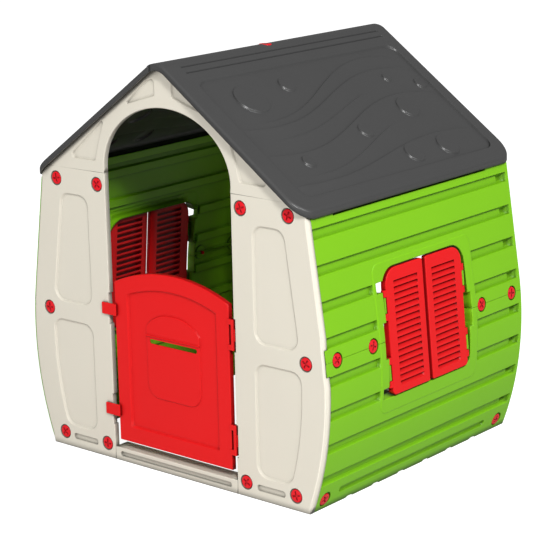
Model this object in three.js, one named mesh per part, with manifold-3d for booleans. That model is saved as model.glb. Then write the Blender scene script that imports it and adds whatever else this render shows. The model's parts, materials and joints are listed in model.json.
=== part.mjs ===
// Child's plastic playhouse: planked side walls, panelled ends with arched doorways,
// ridge roof, half door at the front and louvred shutters.
// Millimetres. X runs along the front, Y into the house, Z up.
// The origin is on the floor at the centre of the footprint, and the front faces -Y.
import * as THREE from 'three';
import { mergeVertices } from 'three/addons/utils/BufferGeometryUtils.js';
import Module from 'manifold-3d';

const wasm = await Module();
wasm.setup();

// ---------- driving dimensions ----------
const HALF_DEPTH = 432;        // outer face of the front wall to the centre of the house
const GAP = 0.35;              // clearance between neighbouring pieces
const SKIN = 2.8;              // moulded wall thickness

// barrel profile of the side walls
const WIDE_X = 512;            // half width at the widest height
const WIDE_Z = 316;            // height of the widest point
const BARREL_R = 876;          // radius of the curved stretch
const LEAN_UP = 8.46;          // degrees the wall leans inward above the curve
const LEAN_DOWN = 21;          // degrees the wall leans inward below the curve

// roof
const ROOF_PITCH = 35.8;       // degrees
const ROOF_PEAK = 1101.8;      // height at which the two roof planes cross
const RIDGE_R = 51;            // rounded ridge
const ROOF_HALF_LENGTH = 456;
const EAVE_X = 464;
const EAVE_CORNER_R = 50;
const ROOF_SKIN = 3.2;
const ROOF_LIP = 18;           // vertical height of the turned-down rim
const RIDGE_SEAM_X = -20;      // the right panel carries the ridge cap down to here
const RIDGE_SCREW_Y = -32;

// front and rear walls
const WALL_T = 15;             // depth of the moulded post and gable boxes
const EDGE_INSET = 8;          // how far the face edge lies inside the plank surface
const WALL_EAVE_X = 446;       // half width of the end walls where they meet the roof
const END_ROOF_GAP = 4.6;      // roof surface down to the top of the end walls
const SEAM_Z = 785;            // joint between the posts and the gable
const DOOR_HALF = 217;         // half width of the doorway
const ARCH_SPRING_Z = 800;
const ARCH_TOP_Z = 974;
const JAMB_T = 9;
const FIELD_DEPTH = 5;         // recessed fields of the posts and gables
const FIELD_BEVEL = 8;

// threshold
const SILL_H = 37;
const SILL_DEPTH = 46;

// side walls
const WALL_MID_Z = 398;        // joint between the lower and upper halves
const WALL_TOP_Z = 764;
const EAVE_STEP_Z = 742;       // the wall steps back above this height, between the ends
const EAVE_STEP_Y0 = -332;
const EAVE_STEP_Y1 = 323;
const EAVE_STEP_DEPTH = 17;
const GROOVE_HALF = 13.5;
const GROOVE_DEPTH = 9;
const GROOVE_FIRST = 48;       // first groove above and below the joint
const GROOVE_STEP = 88;
const GROOVES_PER_HALF = 4;
const OPEN_END_Y = -HALF_DEPTH + WALL_T + GAP;
const CLOSED_END_Y = HALF_DEPTH - SKIN - GAP;
const END_STRIP = 12;          // plain strip that closes the grooves at one end
const TAB_HALF_H = 33;         // tab of the middle plank that wraps over the post

// window and shutters
const WINDOW_HALF_Y = 179;
const WINDOW_Z0 = 247.5;
const WINDOW_Z1 = 578;
const WINDOW_TOP_R = 58;       // upper corners of the window opening
const WINDOW_FOOT_R = 30;
const GRIP_HALF_Y = 191;        // finger openings beside the closed leaves
const GRIP_HALF_Z = 46;
const PAD_HALF_Y = 213;
const PAD_Z0 = 206;
const PAD_Z1 = 598;
const SHUTTER_W = 159;
const SHUTTER_H = 325;
const SHUTTER_T = 16;
const SHUTTER_GAP = 12;        // between the two closed leaves
const SHUTTER_Z0 = 250.5;
const SLATS = 17;
const SLOT_HALF = 4;           // half height of the slot between two slats
const SLOT_RISE = 19.5;        // each slot climbs by this much towards the inside
const HINGE_OUT = 6;           // hinge axis beyond the outer edge of a leaf
const KNUCKLE_R = 5.5;

// door
const DOOR_T = 14;
const LEAF_HALF = 199;
const LEAF_Z0 = 60;
const LEAF_SIDE_Z = 497;
const LEAF_TOP_Z = 541;
const ROD_X = 209.5;
const ROD_Y = -HALF_DEPTH + 6;
const ROD_R = 6.3;
const ROD_LENGTH = 82;
const ROD_ZS = [142, 421];
const LATCH_ZS = [143, 421];
const NOTCH_DEPTH = 4.6;       // hinge notches in the jamb edges

// screws
const HEAD_R = 18.5;
const HEAD_T = 4.6;
const SHANK_R = 5;
const SHANK_LENGTH = 16;
const SEAT_DEPTH = 5;          // depth of the counterbore
const BOSS_R = 23;

const RAD = Math.PI / 180;
const FACE_Y = -HALF_DEPTH;

const COLOURS = {
  beige: 0xddd7c7,
  green: 0x8fd928,
  red: 0xde2023,
  brightRed: 0xf2262c,
  grey: 0x505050,
};

// ---------- solid helpers ----------
function solid(geometry) {
  const bare = geometry.clone();
  bare.deleteAttribute('normal');
  bare.deleteAttribute('uv');
  const merged = mergeVertices(bare, 1e-4);
  return new wasm.Manifold(new wasm.Mesh({
    numProp: 3,
    vertProperties: new Float32Array(merged.attributes.position.array),
    triVerts: new Uint32Array(merged.index.array),
  }));
}

function toGeometry(manifold) {
  const shortestEdge = 0.01;
  const mesh = manifold.simplify(shortestEdge).getMesh();
  const geometry = new THREE.BufferGeometry();
  geometry.setAttribute('position', new THREE.Float32BufferAttribute(mesh.vertProperties, 3));
  geometry.setIndex(Array.from(mesh.triVerts));
  return geometry;
}

function union(first, ...others) {
  return others.reduce((sum, other) => sum.add(other), first);
}

function cut(body, ...tools) {
  return tools.reduce((rest, tool) => rest.subtract(tool), body);
}

// Runs a flat outline given in x and z from y0 to y1.
function alongY(shape, y0, y1, options = {}) {
  const settings = { depth: y1 - y0, bevelEnabled: false, curveSegments: 3, ...options };
  const geometry = new THREE.ExtrudeGeometry(shape, settings);
  geometry.rotateX(Math.PI / 2);
  geometry.translate(0, y1, 0);
  return solid(geometry);
}

// Runs a flat outline given in y and z from x0 to x1.
function alongX(shape, x0, x1) {
  const settings = { depth: x1 - x0, bevelEnabled: false, curveSegments: 3 };
  const geometry = new THREE.ExtrudeGeometry(shape, settings);
  const turn = new THREE.Matrix4().makeBasis(
    new THREE.Vector3(0, 1, 0),
    new THREE.Vector3(0, 0, 1),
    new THREE.Vector3(1, 0, 0),
  );
  geometry.applyMatrix4(turn);
  geometry.translate(x0, 0, 0);
  return solid(geometry);
}

// Runs a flat outline given in x and y from z0 to z1.
function alongZ(shape, z0, z1) {
  const settings = { depth: z1 - z0, bevelEnabled: false, curveSegments: 5 };
  const geometry = new THREE.ExtrudeGeometry(shape, settings);
  geometry.translate(0, 0, z0);
  return solid(geometry);
}

function box(x0, x1, y0, y1, z0, z1) {
  const geometry = new THREE.BoxGeometry(x1 - x0, y1 - y0, z1 - z0);
  geometry.translate((x0 + x1) / 2, (y0 + y1) / 2, (z0 + z1) / 2);
  return solid(geometry);
}

// A cylinder along Y from y0 to y1.
function rodY(x, z, radius, y0, y1, sides = 8) {
  const geometry = new THREE.CylinderGeometry(radius, radius, y1 - y0, sides);
  geometry.translate(x, (y0 + y1) / 2, z);
  return solid(geometry);
}

// A cylinder along Z from z0 to z1.
function rodZ(x, y, radius, z0, z1, sides = 10) {
  const geometry = new THREE.CylinderGeometry(radius, radius, z1 - z0, sides);
  geometry.rotateX(Math.PI / 2);
  geometry.translate(x, y, (z0 + z1) / 2);
  return solid(geometry);
}

function polygon(points) {
  return new THREE.Shape(points.map(([a, b]) => new THREE.Vector2(a, b)));
}

// A closed outline whose corners are rounded; each corner may carry its own radius.
function rounded(corners, radius) {
  const shape = new THREE.Shape();
  const count = corners.length;
  const at = (i) => new THREE.Vector2(...corners[(i + count) % count]);
  corners.forEach((corner, i) => {
    const here = at(i);
    const r = corner[2] ?? radius;
    const before = at(i - 1).sub(here).setLength(r).add(here);
    const after = at(i + 1).sub(here).setLength(r).add(here);
    if (i === 0) {
      shape.moveTo(before.x, before.y);
    } else {
      shape.lineTo(before.x, before.y);
    }
    shape.quadraticCurveTo(here.x, here.y, after.x, after.y);
  });
  shape.closePath();
  return shape;
}

function turnedHalf(manifold) {
  return manifold.rotate([0, 0, 180]);
}

// ---------- shared curves ----------
// Half width of the plank surface at height z.
function barrelX(z) {
  const up = LEAN_UP * RAD;
  const down = LEAN_DOWN * RAD;
  const dz = z - WIDE_Z;
  const topOfCurve = BARREL_R * Math.sin(up);
  const footOfCurve = -BARREL_R * Math.sin(down);
  if (dz > topOfCurve) {
    return WIDE_X - BARREL_R * (1 - Math.cos(up)) - (dz - topOfCurve) * Math.tan(up);
  }
  if (dz < footOfCurve) {
    return WIDE_X - BARREL_R * (1 - Math.cos(down)) - (footOfCurve - dz) * Math.tan(down);
  }
  return WIDE_X - BARREL_R + Math.sqrt(BARREL_R ** 2 - dz ** 2);
}

// Degrees by which the plank surface faces downward (negative: upward) at height z.
function barrelTilt(z) {
  const slope = (barrelX(z + 1) - barrelX(z - 1)) / 2;
  return Math.atan(slope) / RAD;
}

// Height of the roof's outer surface at x, moved inward by depth.
function roofZ(x, depth = 0) {
  const pitch = ROOF_PITCH * RAD;
  const peak = ROOF_PEAK - depth / Math.cos(pitch);
  const radius = RIDGE_R - depth;
  const tangentX = radius * Math.sin(pitch);
  if (Math.abs(x) > tangentX) {
    return peak - Math.abs(x) * Math.tan(pitch);
  }
  const centreZ = peak - radius / Math.cos(pitch);
  return centreZ + Math.sqrt(radius ** 2 - x ** 2);
}

function steps(from, to, count) {
  return Array.from({ length: count + 1 }, (_, i) => from + ((to - from) * i) / count);
}

// Points along the roof line between two x positions, with extra points over the ridge.
function roofLine(fromX, toX, depth) {
  const ridge = [-30, -20, -10, 0, 10, 20, 30];
  const low = Math.min(fromX, toX);
  const high = Math.max(fromX, toX);
  const xs = [low, ...ridge.filter((x) => x > low + 1 && x < high - 1), high];
  const points = xs.map((x) => [x, roofZ(x, depth)]);
  return fromX < toX ? points : points.reverse();
}

// Half-ellipse of the doorway head, grown outward by extra.
function archPoints(extra, foot) {
  const halfWidth = DOOR_HALF + extra;
  const rise = ARCH_TOP_Z - ARCH_SPRING_Z + extra;
  const angles = steps(0, 180, 16);
  const head = angles.map((a) => [
    halfWidth * Math.cos(a * RAD),
    ARCH_SPRING_Z + rise * Math.sin(a * RAD),
  ]);
  return [[halfWidth, foot], ...head, [-halfWidth, foot]];
}

// ---------- screws ----------
// Axis along +Z, underside of the head at z = 0.
function screwBody() {
  const outline = [
    [0, -SHANK_LENGTH],
    [SHANK_R, -SHANK_LENGTH],
    [SHANK_R, 0],
    [HEAD_R, 0],
    [HEAD_R - 1.5, HEAD_T],
    [0, HEAD_T],
  ];
  const lathe = new THREE.LatheGeometry(outline.map(([r, z]) => new THREE.Vector2(r, z)), 10);
  lathe.rotateX(Math.PI / 2);
  const armLength = 10;
  const armHalf = 1.6;
  const recessFloor = HEAD_T - 2;
  const armX = box(-armLength, armLength, -armHalf, armHalf, recessFloor, HEAD_T + 1);
  const armY = box(-armHalf, armHalf, -armLength, armLength, recessFloor, HEAD_T + 1);
  return cut(solid(lathe), union(armX, armY));
}

// Turns a tool built along +Z so that +Z points out of the wall, then moves it.
function placed(tool, rotation, position) {
  return tool.rotate(rotation).translate(position);
}

const TO_FRONT = [90, 0, 0];
const SEAT = new THREE.CylinderGeometry(HEAD_R + 1, HEAD_R + 1, 30, 10);
SEAT.rotateX(Math.PI / 2);
SEAT.translate(0, 0, 15);
const HOLE = new THREE.CylinderGeometry(SHANK_R + 1.2, SHANK_R + 1.2, 60, 6);
HOLE.rotateX(Math.PI / 2);
// The counterbore and the through hole of one screw, underside of the head at z = 0.
const SCREW_TOOL = union(solid(SEAT).translate([0, 0, -0.3]), solid(HOLE));
const SCREW = screwBody();

// Positions on the front wall, given for the right-hand side.
const FRONT_SCREWS = [
  { name: 'top_outer', x: 398, z: 751 },
  { name: 'top_inner', x: 247, z: 751 },
  { name: 'middle', x: 447, z: 388 },
  { name: 'bottom_outer', x: 409, z: 39 },
  { name: 'bottom_inner', x: 247, z: 39 },
];

const SIDE_SCREWS = [
  { name: 'front_outer', y: -384, z: WALL_MID_Z },
  { name: 'front_inner', y: -239, z: WALL_MID_Z },
  { name: 'rear_inner', y: 239, z: WALL_MID_Z },
  { name: 'rear_outer', y: 384, z: WALL_MID_Z },
  { name: 'front_bottom', y: -384, z: 27 },
  { name: 'rear_bottom', y: 380, z: 27 },
];

function atFront(tool, x, z) {
  return placed(tool, TO_FRONT, [x, FACE_Y + SEAT_DEPTH, z]);
}

// On the right-hand side wall, square to the plank surface.
function atSide(tool, y, z) {
  const tilt = barrelTilt(z);
  const seatX = barrelX(z) - SEAT_DEPTH * Math.cos(tilt * RAD);
  const seatZ = z + SEAT_DEPTH * Math.sin(tilt * RAD);
  return placed(tool, [0, 90 + tilt, 0], [seatX, y, seatZ]);
}

// ---------- front and rear walls ----------
// Outline of the whole end wall from footZ up to roofDepth below the roof, moved inward by inset.
function endOutline(inset, roofDepth, footZ = 0) {
  const eaveX = WALL_EAVE_X - inset;
  const eaveZ = roofZ(eaveX, roofDepth);
  const side = steps(footZ, eaveZ, 9).map((z) => [barrelX(z) - inset, z]);
  const right = side.slice(0, -1);
  const left = right.map(([x, z]) => [-x, z]).reverse();
  return [...right, ...roofLine(eaveX, -eaveX, roofDepth), ...left];
}

const POST_FIELD_X = 283;      // inner side of the post fields
const POST_FIELD_EDGE = 78;    // from the plank surface to the outer side of the post fields

// Field of the right-hand post between two heights; its outer side follows the barrel.
function postField(z0, z1, grow) {
  const innerX = POST_FIELD_X - grow;
  const heights = steps(z0 - grow, z1 + grow, 4);
  const outer = heights.map((z) => [barrelX(z) - POST_FIELD_EDGE + grow, z]);
  const corners = [
    [innerX, z0 - grow, 34],
    [outer[0][0], outer[0][1], 34],
    ...outer.slice(1, -1).map(([x, z]) => [x, z, 14]),
    [outer[4][0], outer[4][1], 30],
    [innerX, z1 + grow, 30],
  ];
  return rounded(corners, 30);
}

// Cutter of a recessed field from the outline of its floor; it widens towards the face.
function fieldCutter(floorShape) {
  return alongY(floorShape, FACE_Y - 6, FACE_Y, {
    bevelEnabled: true,
    bevelThickness: FIELD_DEPTH,
    bevelSize: FIELD_BEVEL,
    bevelSegments: 1,
  });
}

const FIELD_HEIGHTS = [[62, 363], [412, 715]];

// The lower and upper fields in a gable, given for the right-hand side.
const GABLE_FIELDS = [
  (grow) => rounded([
    [248 - grow, 812 - grow, 9],
    [350 + grow * 2.2, 812 - grow, 9],
    [207 + grow * 0.2, 933 + grow * 1.4, 5],
    [232 - grow, 868, 9],
  ], 9),
  (grow) => rounded([
    [28 - grow, 1003 - grow, 8],
    [136 + grow * 2.6, 970 - grow * 0.2, 4],
    [28 - grow, 1054 + grow * 1.6, 12],
  ], 8),
];

// Solid end wall whose face edge is rounded along the barrel sides only.
function endBlank() {
  const bevel = {
    bevelEnabled: true,
    bevelThickness: EDGE_INSET + 2,
    bevelSize: EDGE_INSET,
    bevelOffset: -EDGE_INSET,
    bevelSegments: 2,
  };
  const beyond = 40;
  const tall = polygon(endOutline(0, -beyond, -beyond));
  const backY = FACE_Y + WALL_T + beyond;
  const trim = alongY(polygon(endOutline(-beyond, END_ROOF_GAP)), FACE_Y - beyond, backY + beyond);
  return alongY(tall, FACE_Y + bevel.bevelThickness, backY, bevel).intersect(trim);
}

// One box-like moulding: front skin, rim all round, open at the back.
function moulding(region, innerRegion, fields, growFields, screws) {
  const front = endBlank().intersect(region);
  const pans = growFields.map((s) => alongY(s, FACE_Y, FACE_Y + FIELD_DEPTH + SKIN));
  const bosses = screws.map(([x, z]) => rodY(x, z, BOSS_R, FACE_Y, FACE_Y + WALL_T));
  const hollow = cut(innerRegion, ...pans, ...bosses);
  const tools = screws.map(([x, z]) => atFront(SCREW_TOOL, x, z));
  return cut(front, hollow, ...fields.map(fieldCutter), ...tools);
}

const CAVITY_Y0 = FACE_Y + SKIN;
const CAVITY_Y1 = FACE_Y + WALL_T + 1;

function inner(shape) {
  return alongY(shape, CAVITY_Y0, CAVITY_Y1);
}

const POST_REGION = box(DOOR_HALF, 600, FACE_Y - 1, FACE_Y + WALL_T, 0, SEAM_Z - GAP);

// Post moulding whose hollow stays rim inside the barrel line.
function postMoulding(rim) {
  const cavityBox = box(
    DOOR_HALF + JAMB_T, 600, CAVITY_Y0, CAVITY_Y1, SKIN, SEAM_Z - GAP - SKIN,
  );
  const outline = polygon(endOutline(rim, END_ROOF_GAP + SKIN));
  const cavity = inner(outline).intersect(cavityBox);
  const fields = FIELD_HEIGHTS.map(([z0, z1]) => postField(z0, z1, -FIELD_BEVEL));
  const grown = FIELD_HEIGHTS.map(([z0, z1]) => postField(z0, z1, SKIN));
  const screws = FRONT_SCREWS.map(({ x, z }) => [x, z]);
  return moulding(POST_REGION, cavity, fields, grown, screws);
}

// Right-hand front post. The open end of the side wall butts against its rim.
function openPost() {
  return cut(postMoulding(SKIN + EDGE_INSET + 1), ...postDetails(), tabRecess());
}

// Left-hand front post, built on the right and mirrored later.
// Only its skin reaches the outer edge, because the closed wall end sits behind it.
function closedPost() {
  const wallEnd = 34;
  const behind = alongY(polygon(endOutline(-20, -20)), CAVITY_Y0, CAVITY_Y1);
  const core = alongY(polygon(endOutline(wallEnd, END_ROOF_GAP)), CAVITY_Y0 - 1, CAVITY_Y1 + 1);
  return cut(postMoulding(wallEnd + SKIN), cut(behind, core), ...postDetails());
}

// Hinge notches in the jamb edge and the shallow slot between the two lowest screws.
function postDetails() {
  const notchHalf = ROD_LENGTH / 2 + 1.5;
  const notches = ROD_ZS.map((z) => box(
    DOOR_HALF - 1, DOOR_HALF + NOTCH_DEPTH,
    FACE_Y - 1, FACE_Y + WALL_T + 1,
    z - notchHalf, z + notchHalf,
  ));
  const slotX0 = POST_FIELD_X;
  const slotX1 = 375;
  const slotZ0 = 25;
  const slotZ1 = 42;
  const slot = rounded([[slotX0, slotZ0], [slotX1, slotZ0], [slotX1, slotZ1], [slotX0, slotZ1]], 6);
  const slotDepth = 2;
  return [...notches, alongY(slot, FACE_Y - 1, FACE_Y + slotDepth)];
}

// Room on the rim of the open post for the tab of the side wall.
function tabRecess() {
  const heights = steps(WALL_MID_Z - TAB_HALF_H - GAP, WALL_MID_Z + TAB_HALF_H + GAP, 4);
  const inside = heights.map((z) => [barrelX(z) - SKIN - GAP, z]);
  const outside = heights.map((z) => [barrelX(z) + 20, z]).reverse();
  return alongY(polygon([...inside, ...outside]), FACE_Y + 4 - GAP, FACE_Y + WALL_T + 1);
}

function gable() {
  const region = box(-600, 600, FACE_Y - 1, FACE_Y + WALL_T, SEAM_Z, 1200);
  const cavityBox = box(-600, 600, CAVITY_Y0, CAVITY_Y1, SEAM_Z + SKIN, 1200);
  const sideRim = 30;
  const archFoot = SEAM_Z - 80;
  const archWall = alongY(polygon(archPoints(SKIN, archFoot)), FACE_Y - 2, CAVITY_Y1 + 1);
  const doorway = alongY(polygon(archPoints(0, archFoot)), FACE_Y - 2, CAVITY_Y1 + 1);
  const outline = polygon(endOutline(sideRim, END_ROOF_GAP + SKIN));
  const cavity = cut(inner(outline).intersect(cavityBox), archWall);
  const fields = GABLE_FIELDS.flatMap((field) => bothSides(field(-FIELD_BEVEL)));
  const grown = GABLE_FIELDS.flatMap((field) => bothSides(field(SKIN)));
  return cut(moulding(region, cavity, fields, grown, []), doorway);
}

// The outline itself and its mirror image about x = 0.
function bothSides(shape) {
  const points = shape.getPoints(3).slice(0, -1).map((p) => [-p.x, p.y]).reverse();
  return [shape, polygon(points)];
}

function threshold() {
  const halfX = DOOR_HALF - GAP;
  const bar = box(-halfX, halfX, FACE_Y, FACE_Y + SILL_DEPTH, 0, SILL_H);
  const slotDepth = 6;
  const hollow = box(
    -halfX + SKIN, halfX - SKIN,
    FACE_Y + SKIN + slotDepth, FACE_Y + SILL_DEPTH - SKIN,
    -1, SILL_H - SKIN,
  );
  const slotX = 197;
  const slotZ0 = 13;
  const slotZ1 = 27;
  const outline = [[-slotX, slotZ0], [slotX, slotZ0], [slotX, slotZ1], [-slotX, slotZ1]];
  const slot = alongY(rounded(outline, 5), FACE_Y - 1, FACE_Y + slotDepth);
  const grooveY = FACE_Y + 34;
  const groove = box(-halfX - 1, halfX + 1, grooveY, grooveY + 2, SILL_H - 1.5, SILL_H + 1);
  return cut(bar, hollow, slot, groove);
}

// ---------- side walls (built on the right) ----------
function grooveCentres(sign) {
  return Array.from(
    { length: GROOVES_PER_HALF },
    (_, i) => WALL_MID_Z + sign * (GROOVE_FIRST + GROOVE_STEP * i),
  );
}

// Breakpoints of the wall surface between z0 and z1 as [height, 1 inside a groove or 0 outside].
function wallMarks(z0, z1, grooves, widen) {
  const marks = [[z0, 0], [z1, 0]];
  const flank = 3;
  grooves.forEach((zc) => {
    const half = GROOVE_HALF + widen;
    marks.push([zc - half, 0], [zc - half + flank, 1], [zc + half - flank, 1], [zc + half, 0]);
  });
  return marks.filter(([z]) => z >= z0 && z <= z1).sort((a, b) => a[0] - b[0]);
}

// Surface line moved inward by inset, with the grooves sunk by grooveDepth.
function wallLine(marks, inset, grooveDepth) {
  return marks.map(([z, sunk]) => [barrelX(z) - inset - sunk * grooveDepth, z]);
}

// Plain band of wall without grooves, between two depths below the surface.
function band(z0, z1, outerInset, innerInset) {
  const centres = z1 > WALL_MID_Z ? grooveCentres(1) : grooveCentres(-1);
  const marks = wallMarks(z0, z1, centres, 0);
  const back = wallLine(marks, innerInset, 0).reverse();
  return polygon([...wallLine(marks, outerInset, 0), ...back]);
}

function plankSheet(z0, z1, grooves) {
  const outer = wallLine(wallMarks(z0, z1, grooves, 0), 0, GROOVE_DEPTH);
  const back = wallLine(wallMarks(z0, z1, grooves, 2.2), SKIN, GROOVE_DEPTH).reverse();
  return alongY(polygon([...outer, ...back]), OPEN_END_Y, CLOSED_END_Y);
}

function windowOutline(grow) {
  const y = WINDOW_HALF_Y + grow;
  const z0 = WINDOW_Z0 - grow;
  const z1 = WINDOW_Z1 + grow;
  return rounded([
    [-y, z0, WINDOW_FOOT_R],
    [y, z0, WINDOW_FOOT_R],
    [y, z1, WINDOW_TOP_R],
    [-y, z1, WINDOW_TOP_R],
  ], WINDOW_FOOT_R);
}

function padOutline() {
  const y = PAD_HALF_Y;
  return rounded([[-y, PAD_Z0], [y, PAD_Z0], [y, PAD_Z1], [-y, PAD_Z1]], 28);
}

const X_NEAR = 380;
const X_FAR = 560;

// The hinge frame shared by a window's two leaves: a chord of the barrel, facing outward.
const CHORD_HALF = 100;
const CHORD_TILT = Math.atan(
  (barrelX(WALL_MID_Z - CHORD_HALF) - barrelX(WALL_MID_Z + CHORD_HALF)) / (2 * CHORD_HALF),
) / RAD;
const CHORD_X = (barrelX(WALL_MID_Z - CHORD_HALF) + barrelX(WALL_MID_Z + CHORD_HALF)) / 2;

// Moves a part built around a vertical plane at x = 0 into the leaning window plane.
function intoWindow(part) {
  return part.rotate([0, -CHORD_TILT, 0]).translate([CHORD_X, 0, WALL_MID_Z]);
}

const HINGE_Y = SHUTTER_GAP / 2 + SHUTTER_W + HINGE_OUT;
const HINGE_DEPTH = 6;         // hinge axis behind the outer face of a leaf
const KNUCKLE_HEIGHTS = [-117, -57, 57, 117];
const WALL_KNUCKLE_HEIGHTS = [-87, 87];
const KNUCKLE_HALF = 9;
const WALL_KNUCKLE_HALF = 20;
const PIN_R = 2.4;

// Wall knuckle with its arm, on the side given by sign, in window coordinates.
function wallKnuckle(sign, height) {
  const y = sign * HINGE_Y;
  const z0 = height - WALL_KNUCKLE_HALF;
  const z1 = height + WALL_KNUCKLE_HALF;
  const barrel = rodZ(-HINGE_DEPTH, y, KNUCKLE_R, z0, z1, 8);
  const reach = sign * (WINDOW_HALF_Y + 2);
  const arm = box(
    -HINGE_DEPTH - KNUCKLE_R, -HINGE_DEPTH + 1,
    Math.min(y, reach), Math.max(y, reach),
    z0, z1,
  );
  const bore = rodZ(-HINGE_DEPTH, y, PIN_R + 0.5, z0 - 1, z1 + 1, 6);
  return cut(union(barrel, arm), bore);
}

function sideWall(upper) {
  const sign = upper ? 1 : -1;
  const z0 = upper ? WALL_MID_Z + GAP / 2 : 0;
  const z1 = upper ? WALL_TOP_Z : WALL_MID_Z - GAP / 2;
  const half = box(0, 700, -600, 600, z0, z1);
  const grooves = grooveCentres(sign);

  const sheet = plankSheet(z0, z1, grooves);
  const solidDepth = 13;
  const frameDepth = 26;
  const endStrip = alongY(band(z0, z1, 0, solidDepth), CLOSED_END_Y - END_STRIP, CLOSED_END_Y);
  const padBand = alongY(band(z0, z1, 0, solidDepth), -PAD_HALF_Y - 1, PAD_HALF_Y + 1);
  const pad = alongX(padOutline(), X_NEAR, X_FAR).intersect(padBand);
  const frameBand = alongY(band(z0, z1, 0, frameDepth), -PAD_HALF_Y, PAD_HALF_Y);
  const frame = alongX(windowOutline(SKIN), X_NEAR, X_FAR).intersect(frameBand);
  const bosses = SIDE_SCREWS.map(({ y, z }) => {
    const boss = rodZ(0, 0, BOSS_R, -5, 4, 8);
    return atSide(boss, y, z).intersect(half);
  });
  const middle = [WALL_MID_Z - TAB_HALF_H, WALL_MID_Z + TAB_HALF_H];
  const tabZ0 = upper ? z0 : middle[0];
  const tabZ1 = upper ? middle[1] : z1;
  const tab = alongY(band(tabZ0, tabZ1, 0, SKIN), FACE_Y + 4, OPEN_END_Y + 8);

  let wall = union(sheet, endStrip, pad, frame, tab, ...bosses);
  wall = cut(wall, alongX(windowOutline(0), X_NEAR, X_FAR), cornerHole(grooves), gripOpening());
  const knuckleHeights = WALL_KNUCKLE_HEIGHTS.filter((h) => h * sign > 0);
  knuckleHeights.forEach((h) => {
    wall = union(wall, intoWindow(wallKnuckle(-1, h)), intoWindow(wallKnuckle(1, h)));
  });
  wall = cut(wall, ...SIDE_SCREWS.map(({ y, z }) => atSide(SCREW_TOOL, y, z)));
  if (upper) {
    const step = eaveStep();
    return cut(union(wall, step.backing), step.recess, roofLipClearance());
  }
  return cut(wall, footSlot(), ...footScallops());
}

// Along its top edge the wall steps back, so that only its two ends reach out to the roof.
function eaveStep() {
  const inside = EAVE_STEP_DEPTH + SKIN;
  const block = band(EAVE_STEP_Z - SKIN, WALL_TOP_Z, 0, inside);
  const air = band(EAVE_STEP_Z, WALL_TOP_Z + 20, -20, EAVE_STEP_DEPTH);
  return {
    backing: alongY(block, EAVE_STEP_Y0 - SKIN, EAVE_STEP_Y1 + SKIN),
    recess: alongY(air, EAVE_STEP_Y0, EAVE_STEP_Y1),
  };
}

// The groove beside the window corner is open into the window on the tab side.
function cornerHole(grooves) {
  const zc = grooves[1];
  const reach = 24;
  const overlap = 30;
  return box(
    X_NEAR, X_FAR,
    -WINDOW_HALF_Y - reach, -WINDOW_HALF_Y + overlap,
    zc - GROOVE_HALF, zc + GROOVE_HALF,
  );
}

// Finger openings on both sides of the window, level with the middle of the leaves.
function gripOpening() {
  return box(
    X_NEAR, X_FAR, -GRIP_HALF_Y, GRIP_HALF_Y, WALL_MID_Z - GRIP_HALF_Z, WALL_MID_Z + GRIP_HALF_Z,
  );
}

// Long shallow slot in the lowest plank.
function footSlot() {
  const y0 = -332;
  const y1 = 313;
  const z0 = 30;
  const z1 = 47;
  const depth = 2;
  const tool = alongX(rounded([[y0, z0], [y1, z0], [y1, z1], [y0, z1]], 7), X_NEAR, X_FAR);
  return tool.intersect(alongY(band(z0 - 10, z1 + 10, -20, depth), y0 - 10, y1 + 10));
}

// Drain scallops along the ground edge.
function footScallops() {
  const count = 6;
  const pitch = 110;
  return Array.from({ length: count }, (_, i) => {
    const y = (i - (count - 1) / 2) * pitch;
    const notch = polygon([[y - 14, -1], [y + 14, -1], [y + 8, 4], [y - 8, 4]]);
    return alongX(notch, X_NEAR, X_FAR);
  });
}

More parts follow.
